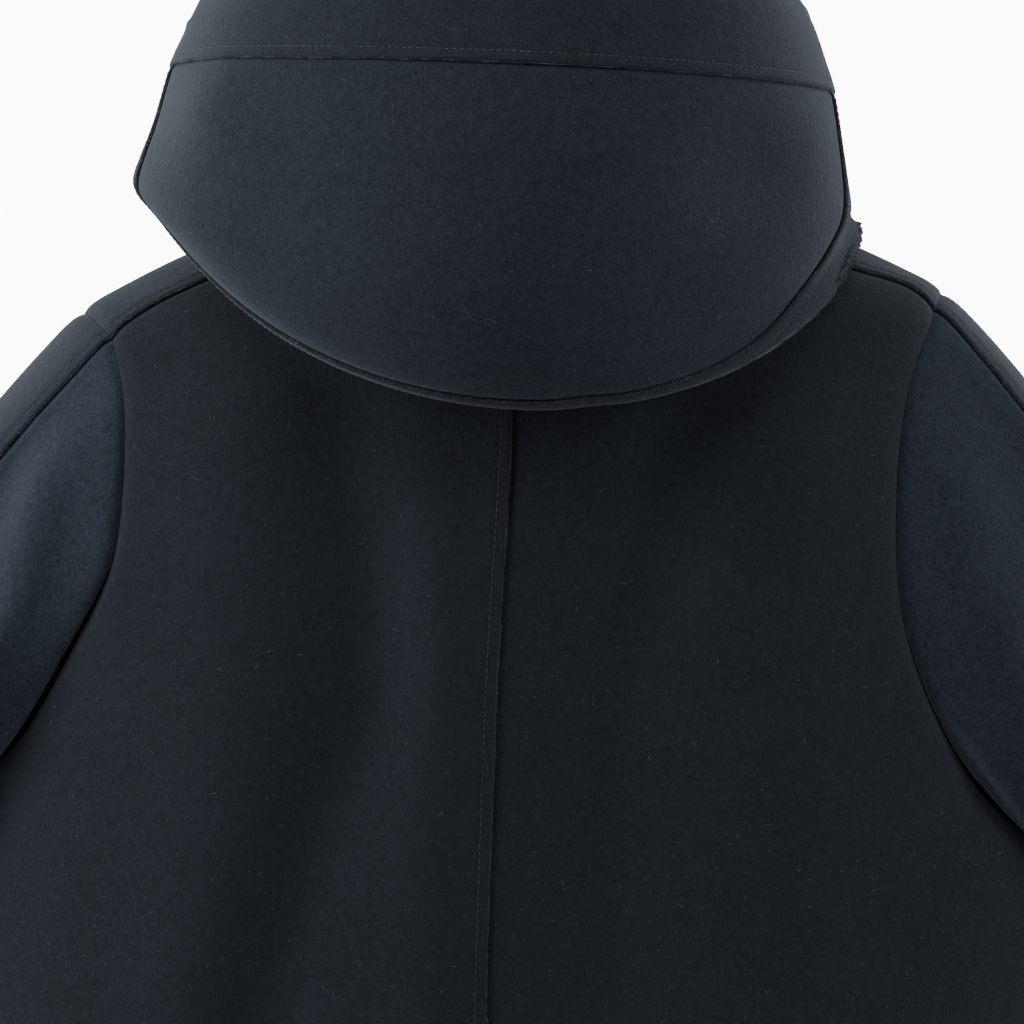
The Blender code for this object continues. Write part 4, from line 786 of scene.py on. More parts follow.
@functools.cache
def cap_lines(side):
    """Dense lines from the armhole to the first ring, with the wall's way at the armhole."""
    base, way, around, out = armhole_loop(side)
    ring, axis = sleeve_ring(side, SLEEVE_RINGS[0]["drop"])
    gap = ring - base
    up = np.sum(gap * way, axis=1)
    off = np.sum(gap * out, axis=1)
    turn = np.arctan2(np.where(off < 0, np.maximum(up, CAP_LEAST_RISE), up), off)
    turn = np.where(turn < 0, np.maximum(turn * CAP_BREAK, CAP_BREAK_LIMIT[side]), turn)
    turn = turn[:, None]
    slip = np.sum(gap * around, axis=1)[:, None]
    rest = np.sqrt(up ** 2 + off ** 2)[:, None]
    leave = unit(slip * around + rest * (out * np.cos(turn) + way * np.sin(turn)))
    own = way * np.cos(turn) - out * np.sin(turn)
    way_here = np.where(turn < 0, unit(way + own), own)
    length = np.linalg.norm(gap, axis=1)[:, None]
    t = np.linspace(0.0, 1.0, DENSE)[:, None, None]
    lines = (2 * t ** 3 - 3 * t ** 2 + 1) * base + (3 * t ** 2 - 2 * t ** 3) * ring
    lines = lines + (t ** 3 - 2 * t ** 2 + t) * leave * length * CAP_PULL[0]
    lines = lines + (t ** 3 - t ** 2) * axis * length * CAP_PULL[1]
    return lines, way_here


def armhole_way(side, face):
    """Way through the body's wall at the armhole: shared with the sleeve where it turns down."""
    way, out = armhole_loop(side)[1::2]
    shared = cap_lines(side)[1]
    bends_down = np.sum(shared * out, axis=1) > 0
    found = np.where(bends_down[:, None], shared, way)
    loop = np.roll(found, -1, axis=0)
    return found[:BACK_SPANS + 1] if face > 0 else loop[::-1][:BACK_SPANS + 1]


@functools.cache
def sleeve_loop_grid(side):
    """Closed rows of the whole sleeve from the armhole to the cuff, and the ways out."""
    lines, first_way = cap_lines(side)
    columns = []
    for column in range(lines.shape[1]):
        line = lines[:, column]
        even = np.linspace(DITCH_NEAR[-1], lengths_along(line)[-1], CAP_ROWS)[1:]
        columns.append(at_lengths(line, np.concatenate([[0.0], DITCH_NEAR, even])))
    cap = clear_of_body(side, np.array(columns).transpose(1, 0, 2))
    drops = np.linspace(SLEEVE_RINGS[0]["drop"], SLEEVE_RINGS[-1]["drop"], ARM_ROWS + 1)[1:]
    arm = np.array([sleeve_ring(side, drop)[0] for drop in drops])
    grid = np.concatenate([cap, arm])
    around = np.roll(grid, -1, axis=1) - np.roll(grid, 1, axis=1)
    down = np.gradient(grid, axis=0)
    way = unit(np.cross(around, down))
    centre = grid.mean(axis=1, keepdims=True)
    way *= np.sign(np.sum(way[-1] * (grid[-1] - centre[-1])))
    off = np.linalg.norm(grid - grid[:1], axis=2)
    share = np.clip(1.0 - off / ARMHOLE_BLEND, 0.0, 1.0)[..., None] ** 2
    way = unit(way * (1.0 - share) + first_way[None] * share)
    push = np.zeros(grid.shape[:2])
    for fold in SLEEVE_FOLDS:
        if fold["side"] == side:
            push += fold_push(fold, grid)
    return grid - way * push[..., None], way


def clear_of_body(side, cap):
    """Hold the underarm part of a sleeve just off the body panels it hangs beside."""
    back = armhole_steps(back_armhole(side))
    front = armhole_steps(front_armhole(side))
    off_pit = np.concatenate([1.0 - back / back[-1], 1.0 - front[-2:0:-1] / front[-1]])
    near_pit = np.clip((UNDERARM_SHARE - off_pit) / UNDERARM_FADE, 0.0, 1.0)
    reach = np.linalg.norm(cap - cap[:1], axis=2)
    wanted = np.minimum(UNDERARM_GAP, UNDERARM_SPREAD * reach)
    wanted += np.maximum(0.0, -fold_depth(cap))
    way = form_normal(cap)
    push = np.maximum(0.0, wanted - height_over(cap, way)) * near_pit
    push[0] = 0.0
    return cap + way * push[..., None]


def fold_push(fold, points):
    """How far a fold pushes a sleeve in at each point of it."""
    across, facing = fold_shares(fold, points)
    start = np.clip((max(fold["z"]) - points[..., 2]) / SLEEVE_FOLD_RUN_IN, 0.0, 1.0)
    end = np.clip((points[..., 2] - min(fold["z"])) / SLEEVE_FOLD_RUN_IN, 0.0, 1.0)
    off = np.linalg.norm(points - points[:1], axis=2)
    free = np.clip(off / ARMHOLE_BLEND, 0.0, 1.0)
    return fold["depth"] * across * start * end * facing * free


@functools.cache
def sleeve_net(side, face):
    """Half a sleeve, from its outer seam round to the one under the arm."""
    grid, way = sleeve_loop_grid(side)
    if face > 0:
        order = list(range(BACK_SPANS + 1))
    else:
        order = [0] + list(range(-1, -BACK_SPANS - 1, -1))
    piece, ways = grid[:, order].copy(), way[:, order].copy()
    distance = np.broadcast_to(armhole_steps(armhole_line(side, face)), piece.shape[:2])
    off_armhole = np.linalg.norm(piece - piece[:1], axis=2)
    underarm = np.linalg.norm(piece - piece[:, -1:], axis=2)
    piece[0] += unit(piece[1] - piece[0]) * SEAM_INSET
    if face > 0:
        strips, strip_ways = zip(*[seam_side(side, reach) for reach in UNDER_REACHES])
        piece = np.concatenate([np.stack(strips, axis=1), piece], axis=1)
        ways = np.concatenate([np.stack(strip_ways, axis=1), ways], axis=1)
        ends = np.broadcast_to(-np.array(UNDER_REACHES), (len(piece), 2))
        distance = np.concatenate([ends, np.maximum(distance, UNDER_CLEAR)], axis=1)
        off_armhole = np.concatenate([off_armhole[:, :1]] * 2 + [off_armhole], axis=1)
        underarm = np.concatenate([underarm[:, :1]] * 2 + [underarm], axis=1)
    net = Net(piece, ways)
    if face > 0:
        net.under(distance)
    else:
        net.lap(distance)
    net.sink(profile(ARMHOLE_DITCH, "depth", off_armhole))
    net.sink(profile(SIDE_DITCH, "depth", underarm))
    return net


def seam_side(side, reach):
    """A line on the front of a sleeve, this far from its outer seam, and the ways there."""
    grid, way = sleeve_loop_grid(side)
    order = [0] + list(range(-1, -len(NEAR) - 1, -1))
    steps = armhole_steps(front_armhole(side))[:len(order)]
    place = int(np.searchsorted(steps, reach))
    share = (reach - steps[place - 1]) / (steps[place] - steps[place - 1])
    low, high = order[place - 1], order[place]
    line = grid[:, low] + share * (grid[:, high] - grid[:, low])
    return line, unit(way[:, low] + share * (way[:, high] - way[:, low]))


# ---------------------------------------------------------------- hood

# Rings of the hood from the rim of the face opening (0) to the neck (1); turn 0 is the
# centre back, the side is a quarter turn on, and fall is the power of the height's change
HOOD_RINGS = table_of("w wide y_side y_back y_front z_back z_side z_front fall shift", (
    (0.00, 0.1128, 0.002, 0.106, -0.100, 0.140, 0.1120, -0.030, 1.80, 0.0060),
    (0.07, 0.1399, 0.006, 0.136, -0.108, 0.122, 0.0940, -0.034, 1.80, 0.0023),
    (0.22, 0.1583, 0.012, 0.158, -0.110, 0.049, 0.0495, -0.044, 1.80, 0.0046),
    (0.34, 0.1644, 0.014, 0.167, -0.106, 0.004, 0.0234, -0.050, 1.60, 0.0063),
    (0.48, 0.1715, 0.016, 0.166, -0.101, -0.054, -0.0037, -0.056, 1.31, 0.0094),
    (0.58, 0.1665, 0.016, 0.153, -0.097, -0.092, -0.0084, -0.061, 1.25, 0.0050),
    (0.64, 0.1630, 0.014, 0.137, -0.094, -0.109, -0.0150, -0.063, 1.20, -0.0045),
    (0.72, 0.1442, 0.010, 0.118, -0.091, -0.096, -0.0063, -0.065, 1.30, 0.0020),
    (0.85, 0.1130, 0.005, 0.097, -0.088, -0.060, -0.0010, -0.066, 1.50, 0.0060),
    (1.00, 0.0850, 0.000, 0.076, -0.086, -0.019, 0.0010, -0.068, 1.60, 0.0060),
))
BAND_W = 0.22             # the band's seam
FOLD_W = 0.62             # the lowest line, where the crown's seam crosses the centre back
NECK_BLEND_W = 0.70
HOOD_TILT = 0.040         # the hood stands higher on the wearer's left
# How far the hood's neck edge lies off the body's: it rides over the seams it crosses
NECK_LIFTS = table_of("turn lift", (
    (-3.20, 0.0046), (-2.45, 0.0046), (-2.20, 0.0008), (-1.65, 0.0008), (-1.50, 0.0022),
    (-1.15, 0.0022), (-1.00, 0.0008), (-0.20, 0.0008), (-0.05, 0.0022), (0.20, 0.0022),
    (0.35, 0.0008), (1.00, 0.0008), (1.15, 0.0022), (1.50, 0.0022), (1.65, 0.0008),
    (2.50, 0.0008), (2.68, 0.0046), (3.20, 0.0046),
))
NECK_CLEAR_SHARE = 0.2    # at the neck only this share of the clearance is kept
NECK_CLEAR_W = 0.15       # it grows to the whole over this much of w
CROWN_TURN = 1.40         # the crown's corners, in radians from the centre back
CROWN_SQUARE = {"left": 5.0, "right": 3.6}    # how square the crown's U is: 2 is an ellipse
FRONT_TURN = 2.90         # the hood's front ends
NECK_TURN = 1.90          # the crown's corners run down to the neck at this turn
NEAR_SHARES = (0.0, 0.0025, 0.0060, 0.0120, 0.0200, 0.0320, 0.0480, 0.0680, 0.0920)
CROWN_COLUMNS = 58
CROWN_ROWS = 46
HOOD_FRONT_COLUMNS = 30
SIDE_ROWS = 34
BAND_ROWS = 16
CORNER_FREE = 0.10        # the crown's corners have no hidden strip
HOOD_CLEAR = 0.0045       # the hood's outer face is held this far off the body's form
HOOD_STEP = 0.01          # step, in radians and in w, over which its way out is taken
SOLID_CROWN_ROWS = 7      # the neck ends of the side's lines are shared out as the solid's are
SOLID_CROWN_COLUMNS = 14
HOOD_DENTS = table_of("turn w depth spread_turn spread_w", (
    (-0.80, 0.36, 0.0070, 0.26, 0.075), (0.62, 0.45, 0.0035, 0.22, 0.090),
    (0.95, 0.30, -0.0040, 0.20, 0.090), (-0.10, 0.42, -0.0040, 0.35, 0.090),
    (-0.20, 0.62, 0.0015, 0.07, 0.030),
))


@functools.cache
def hood_neck_line():
    """Turns from the centre back, and the hood's neck edge there, just off the body's."""
    turns = np.linspace(0.0, np.pi, DENSE)
    halves = []
    for side in ("right", "left"):
        line = neckline(side)
        lift = smooth(NECK_LIFTS, "turn", "lift", turns * sign(side))
        halves.append(line + form_normal(line) * lift[:, None])
    right, left = halves
    return np.concatenate([-turns[:0:-1], turns]), np.concatenate([right[:0:-1], left])


def neck_point(turn):
    turns, line = hood_neck_line()
    return np.stack([np.interp(turn, turns, line[:, axis]) for axis in range(3)], axis=-1)


def hood_ring(turn, w):
    names = [name for name in HOOD_RINGS[0] if name not in ("w", "shift")]
    value = {name: smooth(HOOD_RINGS, "w", name, w) for name in names}
    ahead = np.cos(turn)
    back = ahead >= 0
    y_end = np.where(back, value["y_back"], value["y_front"])
    z_end = np.where(back, value["z_back"], value["z_front"])
    x = value["wide"] * np.sin(turn)
    y = value["y_side"] + (y_end - value["y_side"]) * np.abs(ahead)
    z = value["z_side"] + (z_end - value["z_side"]) * np.abs(ahead) ** value["fall"]
    return np.stack([x, y, z], axis=-1)


def hood_form(turn, w):
    """A point of the hood's outer face at a turn and a share of the way to the neck."""
    turn = np.asarray(turn, dtype=float)
    w = np.asarray(w, dtype=float)
    points = hood_ring(turn, w)
    near = np.clip((w - NECK_BLEND_W) / (1.0 - NECK_BLEND_W), 0.0, 1.0)
    far = 1.0 - near * near * (3.0 - 2.0 * near)
    points[..., 2] += HOOD_TILT * points[..., 0] * far
    points[..., 0] += smooth(HOOD_RINGS, "w", "shift", w) * far
    pull = (near ** 2)[..., None]
    return points + pull * (neck_point(turn) - hood_ring(turn, np.ones_like(w)))


def hood_way(turn, w):
    across = hood_form(turn + HOOD_STEP, w) - hood_form(turn - HOOD_STEP, w)
    low, high = np.maximum(w - HOOD_STEP, 0.0), np.minimum(w + HOOD_STEP, 1.0)
    return unit(np.cross(across, hood_form(turn, high) - hood_form(turn, low)))


def hood_points(turn, w):
    """Points of the hood with its dents, held off the body, and the ways out of it."""
    points = hood_form(turn, w)
    way = hood_way(turn, w)
    for dent in HOOD_DENTS:
        reach = ((turn - dent["turn"]) / dent["spread_turn"]) ** 2
        reach = reach + ((w - dent["w"]) / dent["spread_w"]) ** 2
        points = points - way * (dent["depth"] * np.exp(-reach))[..., None]
    body_way = form_normal(points)
    wanted = HOOD_CLEAR * np.clip((1.0 - w) / NECK_CLEAR_W, NECK_CLEAR_SHARE, 1.0)
    push = np.maximum(0.0, wanted - height_over(points, body_way))
    return points + body_way * push[..., None], way


def crown_place(across, down):
    """Turn and w of a point of the crown: across runs from -1 to 1 and down from 0 to 1."""
    x = across * np.sqrt(1.0 - down ** 2 / 2)
    y = down * np.sqrt(1.0 - across ** 2 / 2)
    radius = np.sqrt(x * x + y * y)
    angle = np.arctan2(y, np.abs(x))
    power = np.where(x >= 0, CROWN_SQUARE["left"], CROWN_SQUARE["right"])
    square = (np.cos(angle) ** power + np.sin(angle) ** power) ** (-1.0 / power)
    scale = 1.0 + (square - 1.0) * radius ** 2
    return CROWN_TURN * x * scale, BAND_W + (FOLD_W - BAND_W) * y * scale


def crown_shares():
    """Columns across the crown and rows down it: they lie close together at its seams."""
    near = np.array(NEAR_SHARES)
    across = np.concatenate([near - 1.0, np.linspace(near[-1] - 1.0, 1.0 - near[-1],
                                                     CROWN_COLUMNS + 2)[1:-1], 1.0 - near[::-1]])
    down = np.concatenate([near, np.linspace(near[-1], 1.0 - near[-1], CROWN_ROWS + 2)[1:-1],
                           1.0 - near[::-1]])
    return across, down


def crown_edge():
    """Places round the crown's U seam from its right corner, down and up to its left one."""
    across, down = crown_shares()
    right = [crown_place(-1.0, share) for share in down[:-1]]
    bottom = [crown_place(share, 1.0) for share in across]
    left = [crown_place(1.0, share) for share in down[-2::-1]]
    return right + bottom + left


def edge_shares():
    """How far round the U seam each place of it is, from -1 to 1, as the solids share it out."""
    across, down = crown_shares()
    rows, columns = SOLID_CROWN_ROWS, SOLID_CROWN_COLUMNS
    total = 2 * rows + columns
    right = down[:-1] * rows
    bottom = rows + (across + 1.0) / 2 * columns
    left = total - right[::-1]
    return (np.concatenate([right, bottom, left]) / total) * 2.0 - 1.0


def side_line_ends():
    """Top and neck end, as turn and w, of each line of the side panel."""
    turns = np.linspace(FRONT_TURN, CROWN_TURN, HOOD_FRONT_COLUMNS + 1)[:-1]
    necks = np.linspace(FRONT_TURN, NECK_TURN, HOOD_FRONT_COLUMNS + 1)[:-1]
    ends = [((-turn, BAND_W), -neck) for turn, neck in zip(turns, necks)]
    ends += [(place, NECK_TURN * part) for place, part in zip(crown_edge(), edge_shares())]
    ends += [((turn, BAND_W), neck) for turn, neck in zip(turns[::-1], necks[::-1])]
    return ends


def spread_line(turn, w, distances):
    """Points, and ways out, at real distances along a line of the hood."""
    run = lengths_along(hood_points(turn, w)[0])
    wanted = distances(run[-1])
    return hood_points(np.interp(wanted, run, turn), np.interp(wanted, run, w))


def side_distances(total):
    return steps_from_seam(total, SIDE_ROWS)


def band_distances(total):
    return steps_from_seam(total, BAND_ROWS)


def strip_distances(total):
    """The hidden strips are as wide on a long line as on a short one."""
    return np.array(UNDER_REACHES)


@functools.cache
def side_columns(distances=side_distances):
    columns = []
    share = np.linspace(0.0, 1.0, DENSE)
    for (turn, w), neck in side_line_ends():
        columns.append(spread_line(turn + (neck - turn) * share, w + (1.0 - w) * share,
                                   distances))
    points, ways = zip(*columns)
    return np.stack(points, axis=1), np.stack(ways, axis=1)


def band_turns():
    front = np.linspace(FRONT_TURN, CROWN_TURN, HOOD_FRONT_COLUMNS + 1)[:-1]
    middle = [crown_place(share, 0.0)[0] for share in crown_shares()[0]]
    return np.concatenate([-front, middle, front[::-1]])


@functools.cache
def band_columns(distances=band_distances):
    columns = []
    for turn in band_turns():
        w = np.linspace(BAND_W, 0.0, DENSE)
        columns.append(spread_line(np.full(DENSE, turn), w, distances))
    points, ways = zip(*columns)
    return np.stack(points, axis=1), np.stack(ways, axis=1)


@functools.cache
def band_net():
    """From the band's raw edge up to the rim of the face opening."""
    points, ways = band_columns()
    net = Net(points, ways)
    run = np.concatenate([[0.0], np.cumsum(np.linalg.norm(
        np.diff(points, axis=0), axis=2).mean(axis=1))])
    net.lap(np.broadcast_to(run[:, None], points.shape[:2]))
    return net


@functools.cache
def side_net():
    """From the band's seam and the crown's U seam down to the neck."""
    points, ways = side_columns()
    strip, strip_way = band_columns(strip_distances)
    first, last = HOOD_FRONT_COLUMNS, points.shape[1] - HOOD_FRONT_COLUMNS - 1
    hidden, hidden_way = (np.repeat(part[:1], 2, axis=0) for part in (points, ways))
    for kept, under in ((hidden, strip), (hidden_way, strip_way)):
        kept[:, :first + 1] = under[:, :first + 1]
        kept[:, last:] = under[:, -first - 1:]
    net = Net(np.concatenate([hidden, points]), np.concatenate([hidden_way, ways]))
    net.present[:2, first:last] = False
    edge = points[0]
    to_crown = nearest(points, edge[first:last + 1])
    to_band = np.minimum(nearest(points, edge[:first + 1]), nearest(points, edge[last:]))
    off = np.full(net.base.shape[:2], FAR)
    off[2:] = to_crown
    net.lap(off)
    off = np.full(net.base.shape[:2], FAR)
    off[2:] = np.maximum(to_band, UNDER_CLEAR)
    off[:2, :first + 1] = off[:2, last:] = -np.array(UNDER_REACHES)[:, None]
    net.under(off)
    return net


@functools.cache
def crown_net():
    """The panel in the middle of the hood, with hidden strips under both others."""
    across, down = crown_shares()
    turn, w = crown_place(across[None, :], down[:, None])
    points, ways = hood_points(turn, w)
    rows, columns = points.shape[:2]
    base = np.zeros((rows + 4, columns + 4, 3))
    way = np.zeros_like(base)
    base[2:-2, 2:-2], way[2:-2, 2:-2] = points, ways
    off = np.full(base.shape[:2], FAR)
    edge = np.concatenate([points[:, 0], points[-1], points[::-1, -1]])
    near_edge = np.minimum(nearest(points, points[0]), nearest(points, edge))
    off[2:-2, 2:-2] = np.maximum(near_edge, UNDER_CLEAR)
    front = HOOD_FRONT_COLUMNS
    top, top_way = band_columns(strip_distances)
    base[:2, 2:-2], way[:2, 2:-2] = top[:, front:-front], top_way[:, front:-front]
    rim, rim_way = side_columns(strip_distances)
    rim, rim_way = rim[:, front:rim.shape[1] - front], rim_way[:, front:rim_way.shape[1] - front]
    for place, reach in enumerate(UNDER_REACHES):
        mirrored = -1 - place
        for kept, under in ((base, rim[place]), (way, rim_way[place])):
            kept[2:-2, place] = under[:rows]
            kept[mirrored, 2:-2] = under[rows - 1:rows + columns - 1]
            kept[2:-2, mirrored] = under[::-1][:rows]
        off[place] = off[mirrored] = -reach
        off[:, place] = off[:, mirrored] = -reach
    net = Net(base, way)
    net.under(off)
    upper = np.nonzero(down < CORNER_FREE)[0][-1] + 2
    lower = np.nonzero(down > 1.0 - CORNER_FREE)[0][0] + 2
    for edge_columns in (slice(0, 2), slice(-2, None)):
        net.present[:upper, edge_columns] = net.present[lower:, edge_columns] = False
    net.present[:2, np.nonzero(np.abs(across) > 1.0 - 2 * CORNER_FREE)[0] + 2] = False
    net.present[-2:, np.nonzero(np.abs(across) > 1.0 - CORNER_FREE / 2)[0] + 2] = False
    return net


# ---------------------------------------------------------------- materials

# Features of the wool in a metre: clouds of tone, matted nap, single raised hairs
CLOUDS = 22.0
MATTED = 230.0
NAP = 700.0
HAIRS = 900.0
HAIRS_DOWN = (1.0, 1.0, 0.22)       # hairs are stretched along the coat, or across it
HAIRS_ACROSS = (0.22, 0.3, 1.0)
THREAD_TWIST = 2600.0
THREAD_DARK = 0.7         # shade of a thread's grooves
FIBRE_DARK = 0.22         # shade of the darker loose fibres
HORN_STREAKS = 130.0
HORN_WEAR = 420.0
HORN_PALE = 3.2           # how much paler a streak of the horn is
HORN_ROUGHNESS = (0.26, 0.44)


def new_material(name):
    material = bpy.data.materials.new(name)
    material.use_nodes = True
    nodes = material.node_tree.nodes
    shader = nodes["Principled BSDF"]
    place = nodes.new("ShaderNodeTexCoord")
    return material, material.node_tree, shader, place.outputs["Object"]


def noise(tree, place, scale, detail=2.0, rough=0.5, stretch=None):
    """A noise texture of about so many features in a metre."""
    node = tree.nodes.new("ShaderNodeTexNoise")
    node.inputs["Scale"].default_value = scale
    node.inputs["Detail"].default_value = detail
    node.inputs["Roughness"].default_value = rough
    if stretch:
        mapping = tree.nodes.new("ShaderNodeMapping")
        mapping.inputs["Scale"].default_value = stretch
        tree.links.new(place, mapping.inputs["Vector"])
        place = mapping.outputs["Vector"]
    tree.links.new(place, node.inputs["Vector"])
    return node.outputs["Fac"]


def ramp(tree, value, stops):
    """A colour ramp: each stop is its place and its colour."""
    node = tree.nodes.new("ShaderNodeValToRGB")
    elements = node.color_ramp.elements
    while len(elements) < len(stops):
        elements.new(0.5)
    for element, (place, colour) in zip(elements, stops):
        element.position = place
        element.color = (*colour, 1.0)
    tree.links.new(value, node.inputs["Fac"])
    return node.outputs["Color"]


def mixed(tree, kind, factor, first, second):
    """Two colours mixed: each is a colour or a socket."""
    node = tree.nodes.new("ShaderNodeMix")
    node.data_type = "RGBA"
    node.blend_type = kind
    for socket, value in ((node.inputs["Factor"], factor), (node.inputs[6], first),
                          (node.inputs[7], second)):
        if isinstance(value, (int, float)):
            socket.default_value = value
        elif isinstance(value, tuple):
            socket.default_value = (*value, 1.0)
        else:
            tree.links.new(value, socket)
    return node.outputs[2]


def scaled_sum(tree, parts):
    """A sum of sockets, each times its share."""
    total = None
    for socket, share in parts:
        node = tree.nodes.new("ShaderNodeMath")
        node.operation = "MULTIPLY_ADD"
        tree.links.new(socket, node.inputs[0])
        node.inputs[1].default_value = share
        if total is None:
            node.inputs[2].default_value = 0.0
        else:
            tree.links.new(total, node.inputs[2])
        total = node.outputs[0]
    return total


def bump(tree, shader, height, strength, distance):
    node = tree.nodes.new("ShaderNodeBump")
    node.inputs["Strength"].default_value = strength
    node.inputs["Distance"].default_value = distance
    tree.links.new(height, node.inputs["Height"])
    tree.links.new(node.outputs["Normal"], shader.inputs["Normal"])


def wool_material_with_painted_light(name, painted_light_and_paper_tone):
    """Thick milled wool: a matted nap, cloudy in tone, with short pale hairs in it; its colour is
    scaled by the piece's painted light.
    """
    look = bpy.context.scene.coat_look
    material, tree, shader, place = new_material(name)
    # painted light and shade: the wool's colour is made lighter or darker by the piece's factor
    dark = tuple(part * painted_light_and_paper_tone for part in look.wool_colour)
    pale = tuple(part * look.nap_contrast for part in dark)
    clouds = noise(tree, place, CLOUDS, 3.0, 0.6)
    nap = noise(tree, place, NAP, 3.0, 0.75)
    matted = noise(tree, place, MATTED, 3.0, 0.6)
    tone = scaled_sum(tree, ((clouds, 0.12), (nap, 0.62), (matted, 0.26)))
    colour = ramp(tree, tone, ((0.36, dark), (0.62, pale)))
    hairs = noise(tree, place, HAIRS, 1.0, stretch=HAIRS_DOWN)
    crossing = noise(tree, place, HAIRS, 1.0, stretch=HAIRS_ACROSS)
    for hair in (hairs, crossing):
        flecks = ramp(tree, hair, ((0.73, (0.0,) * 3), (0.82, (1.0,) * 3)))
        colour = mixed(tree, "MIX", flecks, colour, tuple(look.hair_colour))
    tree.links.new(colour, shader.inputs["Base Color"])
    shader.inputs["Roughness"].default_value = 0.92
    shader.inputs["Specular IOR Level"].default_value = 0.25
    shader.inputs["Sheen Weight"].default_value = look.sheen
    shader.inputs["Sheen Roughness"].default_value = 0.42
    shader.inputs["Sheen Tint"].default_value = (*look.sheen_colour, 1.0)
    height = scaled_sum(tree, ((nap, 0.5), (matted, 0.6), (hairs, 0.3), (crossing, 0.3)))
    bump(tree, shader, height, 0.55, 0.0008)
    return material


def thread_material():
    look = bpy.context.scene.coat_look
    material, tree, shader, place = new_material("thread")
    twist = noise(tree, place, THREAD_TWIST, 1.0)
    dark = tuple(part * THREAD_DARK for part in look.thread_colour)
    colour = ramp(tree, twist, ((0.35, dark), (0.65, tuple(look.thread_colour))))
    tree.links.new(colour, shader.inputs["Base Color"])
    shader.inputs["Roughness"].default_value = 0.6
    shader.inputs["Sheen Weight"].default_value = 0.3
    bump(tree, shader, twist, 0.4, 0.0002)
    return material


def look_colour(name):
    return tuple(getattr(bpy.context.scene.coat_look, name))


def fibre_material(name, pale):
    """Loose wool: most fibres are nearly as dark as the cloth, a few are pale."""
    material, tree, shader, place = new_material(name)
    tone = noise(tree, place, 160.0, 1.0)
    dark = tuple(part * FIBRE_DARK for part in pale)
    colour = ramp(tree, tone, ((0.42, dark), (0.68, pale)))
    tree.links.new(colour, shader.inputs["Base Color"])
    shader.inputs["Roughness"].default_value = 0.7
    return material


def horn_material(name):
    look = bpy.context.scene.coat_look
    material, tree, shader, place = new_material(name)
    streaks = noise(tree, place, HORN_STREAKS, 4.0, 0.6, stretch=(1.0, 1.0, 0.25))
    pale = tuple(part * HORN_PALE for part in look.button_colour)
    colour = ramp(tree, streaks, ((0.40, tuple(look.button_colour)), (0.74, pale)))
    tree.links.new(colour, shader.inputs["Base Color"])
    wear = noise(tree, place, HORN_WEAR, 3.0, 0.6)
    rough = tree.nodes.new("ShaderNodeMapRange")
    tree.links.new(wear, rough.inputs["Value"])
    for name, value in zip(("To Min", "To Max"), HORN_ROUGHNESS):
        rough.inputs[name].default_value = value
    tree.links.new(rough.outputs["Result"], shader.inputs["Roughness"])
    bump(tree, shader, wear, 0.12, 0.0003)
    return material


# ---------------------------------------------------------------- settings

class CoatLook(bpy.types.PropertyGroup):
    """Colours and finishes of the coat."""

    wool_colour: bpy.props.FloatVectorProperty(
        name="Wool", description="Darkest colour of the wool", subtype="COLOR",
        default=(0.0066, 0.0088, 0.0130), min=0.0, max=1.0)
    nap_contrast: bpy.props.FloatProperty(
        name="Nap Contrast", description="How much paler the raised nap is",
        default=2.6, min=1.0, max=4.0)
    hair_colour: bpy.props.FloatVectorProperty(
        name="Pale Hairs", description="Colour of the pale hairs in the nap", subtype="COLOR",
        default=(0.026, 0.033, 0.043), min=0.0, max=1.0)
    sheen: bpy.props.FloatProperty(
        name="Sheen", description="How strongly the nap catches light at its outlines",
        default=0.35, min=0.0, max=1.0, subtype="FACTOR")
    sheen_colour: bpy.props.FloatVectorProperty(
        name="Sheen Colour", description="Colour of the light caught by the nap",
        subtype="COLOR", default=(0.36, 0.42, 0.50), min=0.0, max=1.0)
    thread_colour: bpy.props.FloatVectorProperty(
        name="Thread", description="Colour of the sewing thread", subtype="COLOR",
        default=(0.016, 0.020, 0.028), min=0.0, max=1.0)
    fibre_colour: bpy.props.FloatVectorProperty(
        name="Loose Fibres", description="Colour of the loose fibres on the cloth",
        subtype="COLOR", default=(0.24, 0.27, 0.31), min=0.0, max=1.0)
    # The fibres at the raw edges are real, but their pale colour is painted sheen: the light that
    # the cut edges catch
    edge_fibre_colour_with_painted_sheen: bpy.props.FloatVectorProperty(
        name="Raw Edges", description="Colour of the fibres at the raw edges", subtype="COLOR",
        default=(0.20, 0.235, 0.28), min=0.0, max=1.0)
    button_colour: bpy.props.FloatVectorProperty(
        name="Buttons", description="Darkest colour of the horn buttons", subtype="COLOR",
        default=(0.008, 0.009, 0.011), min=0.0, max=1.0)


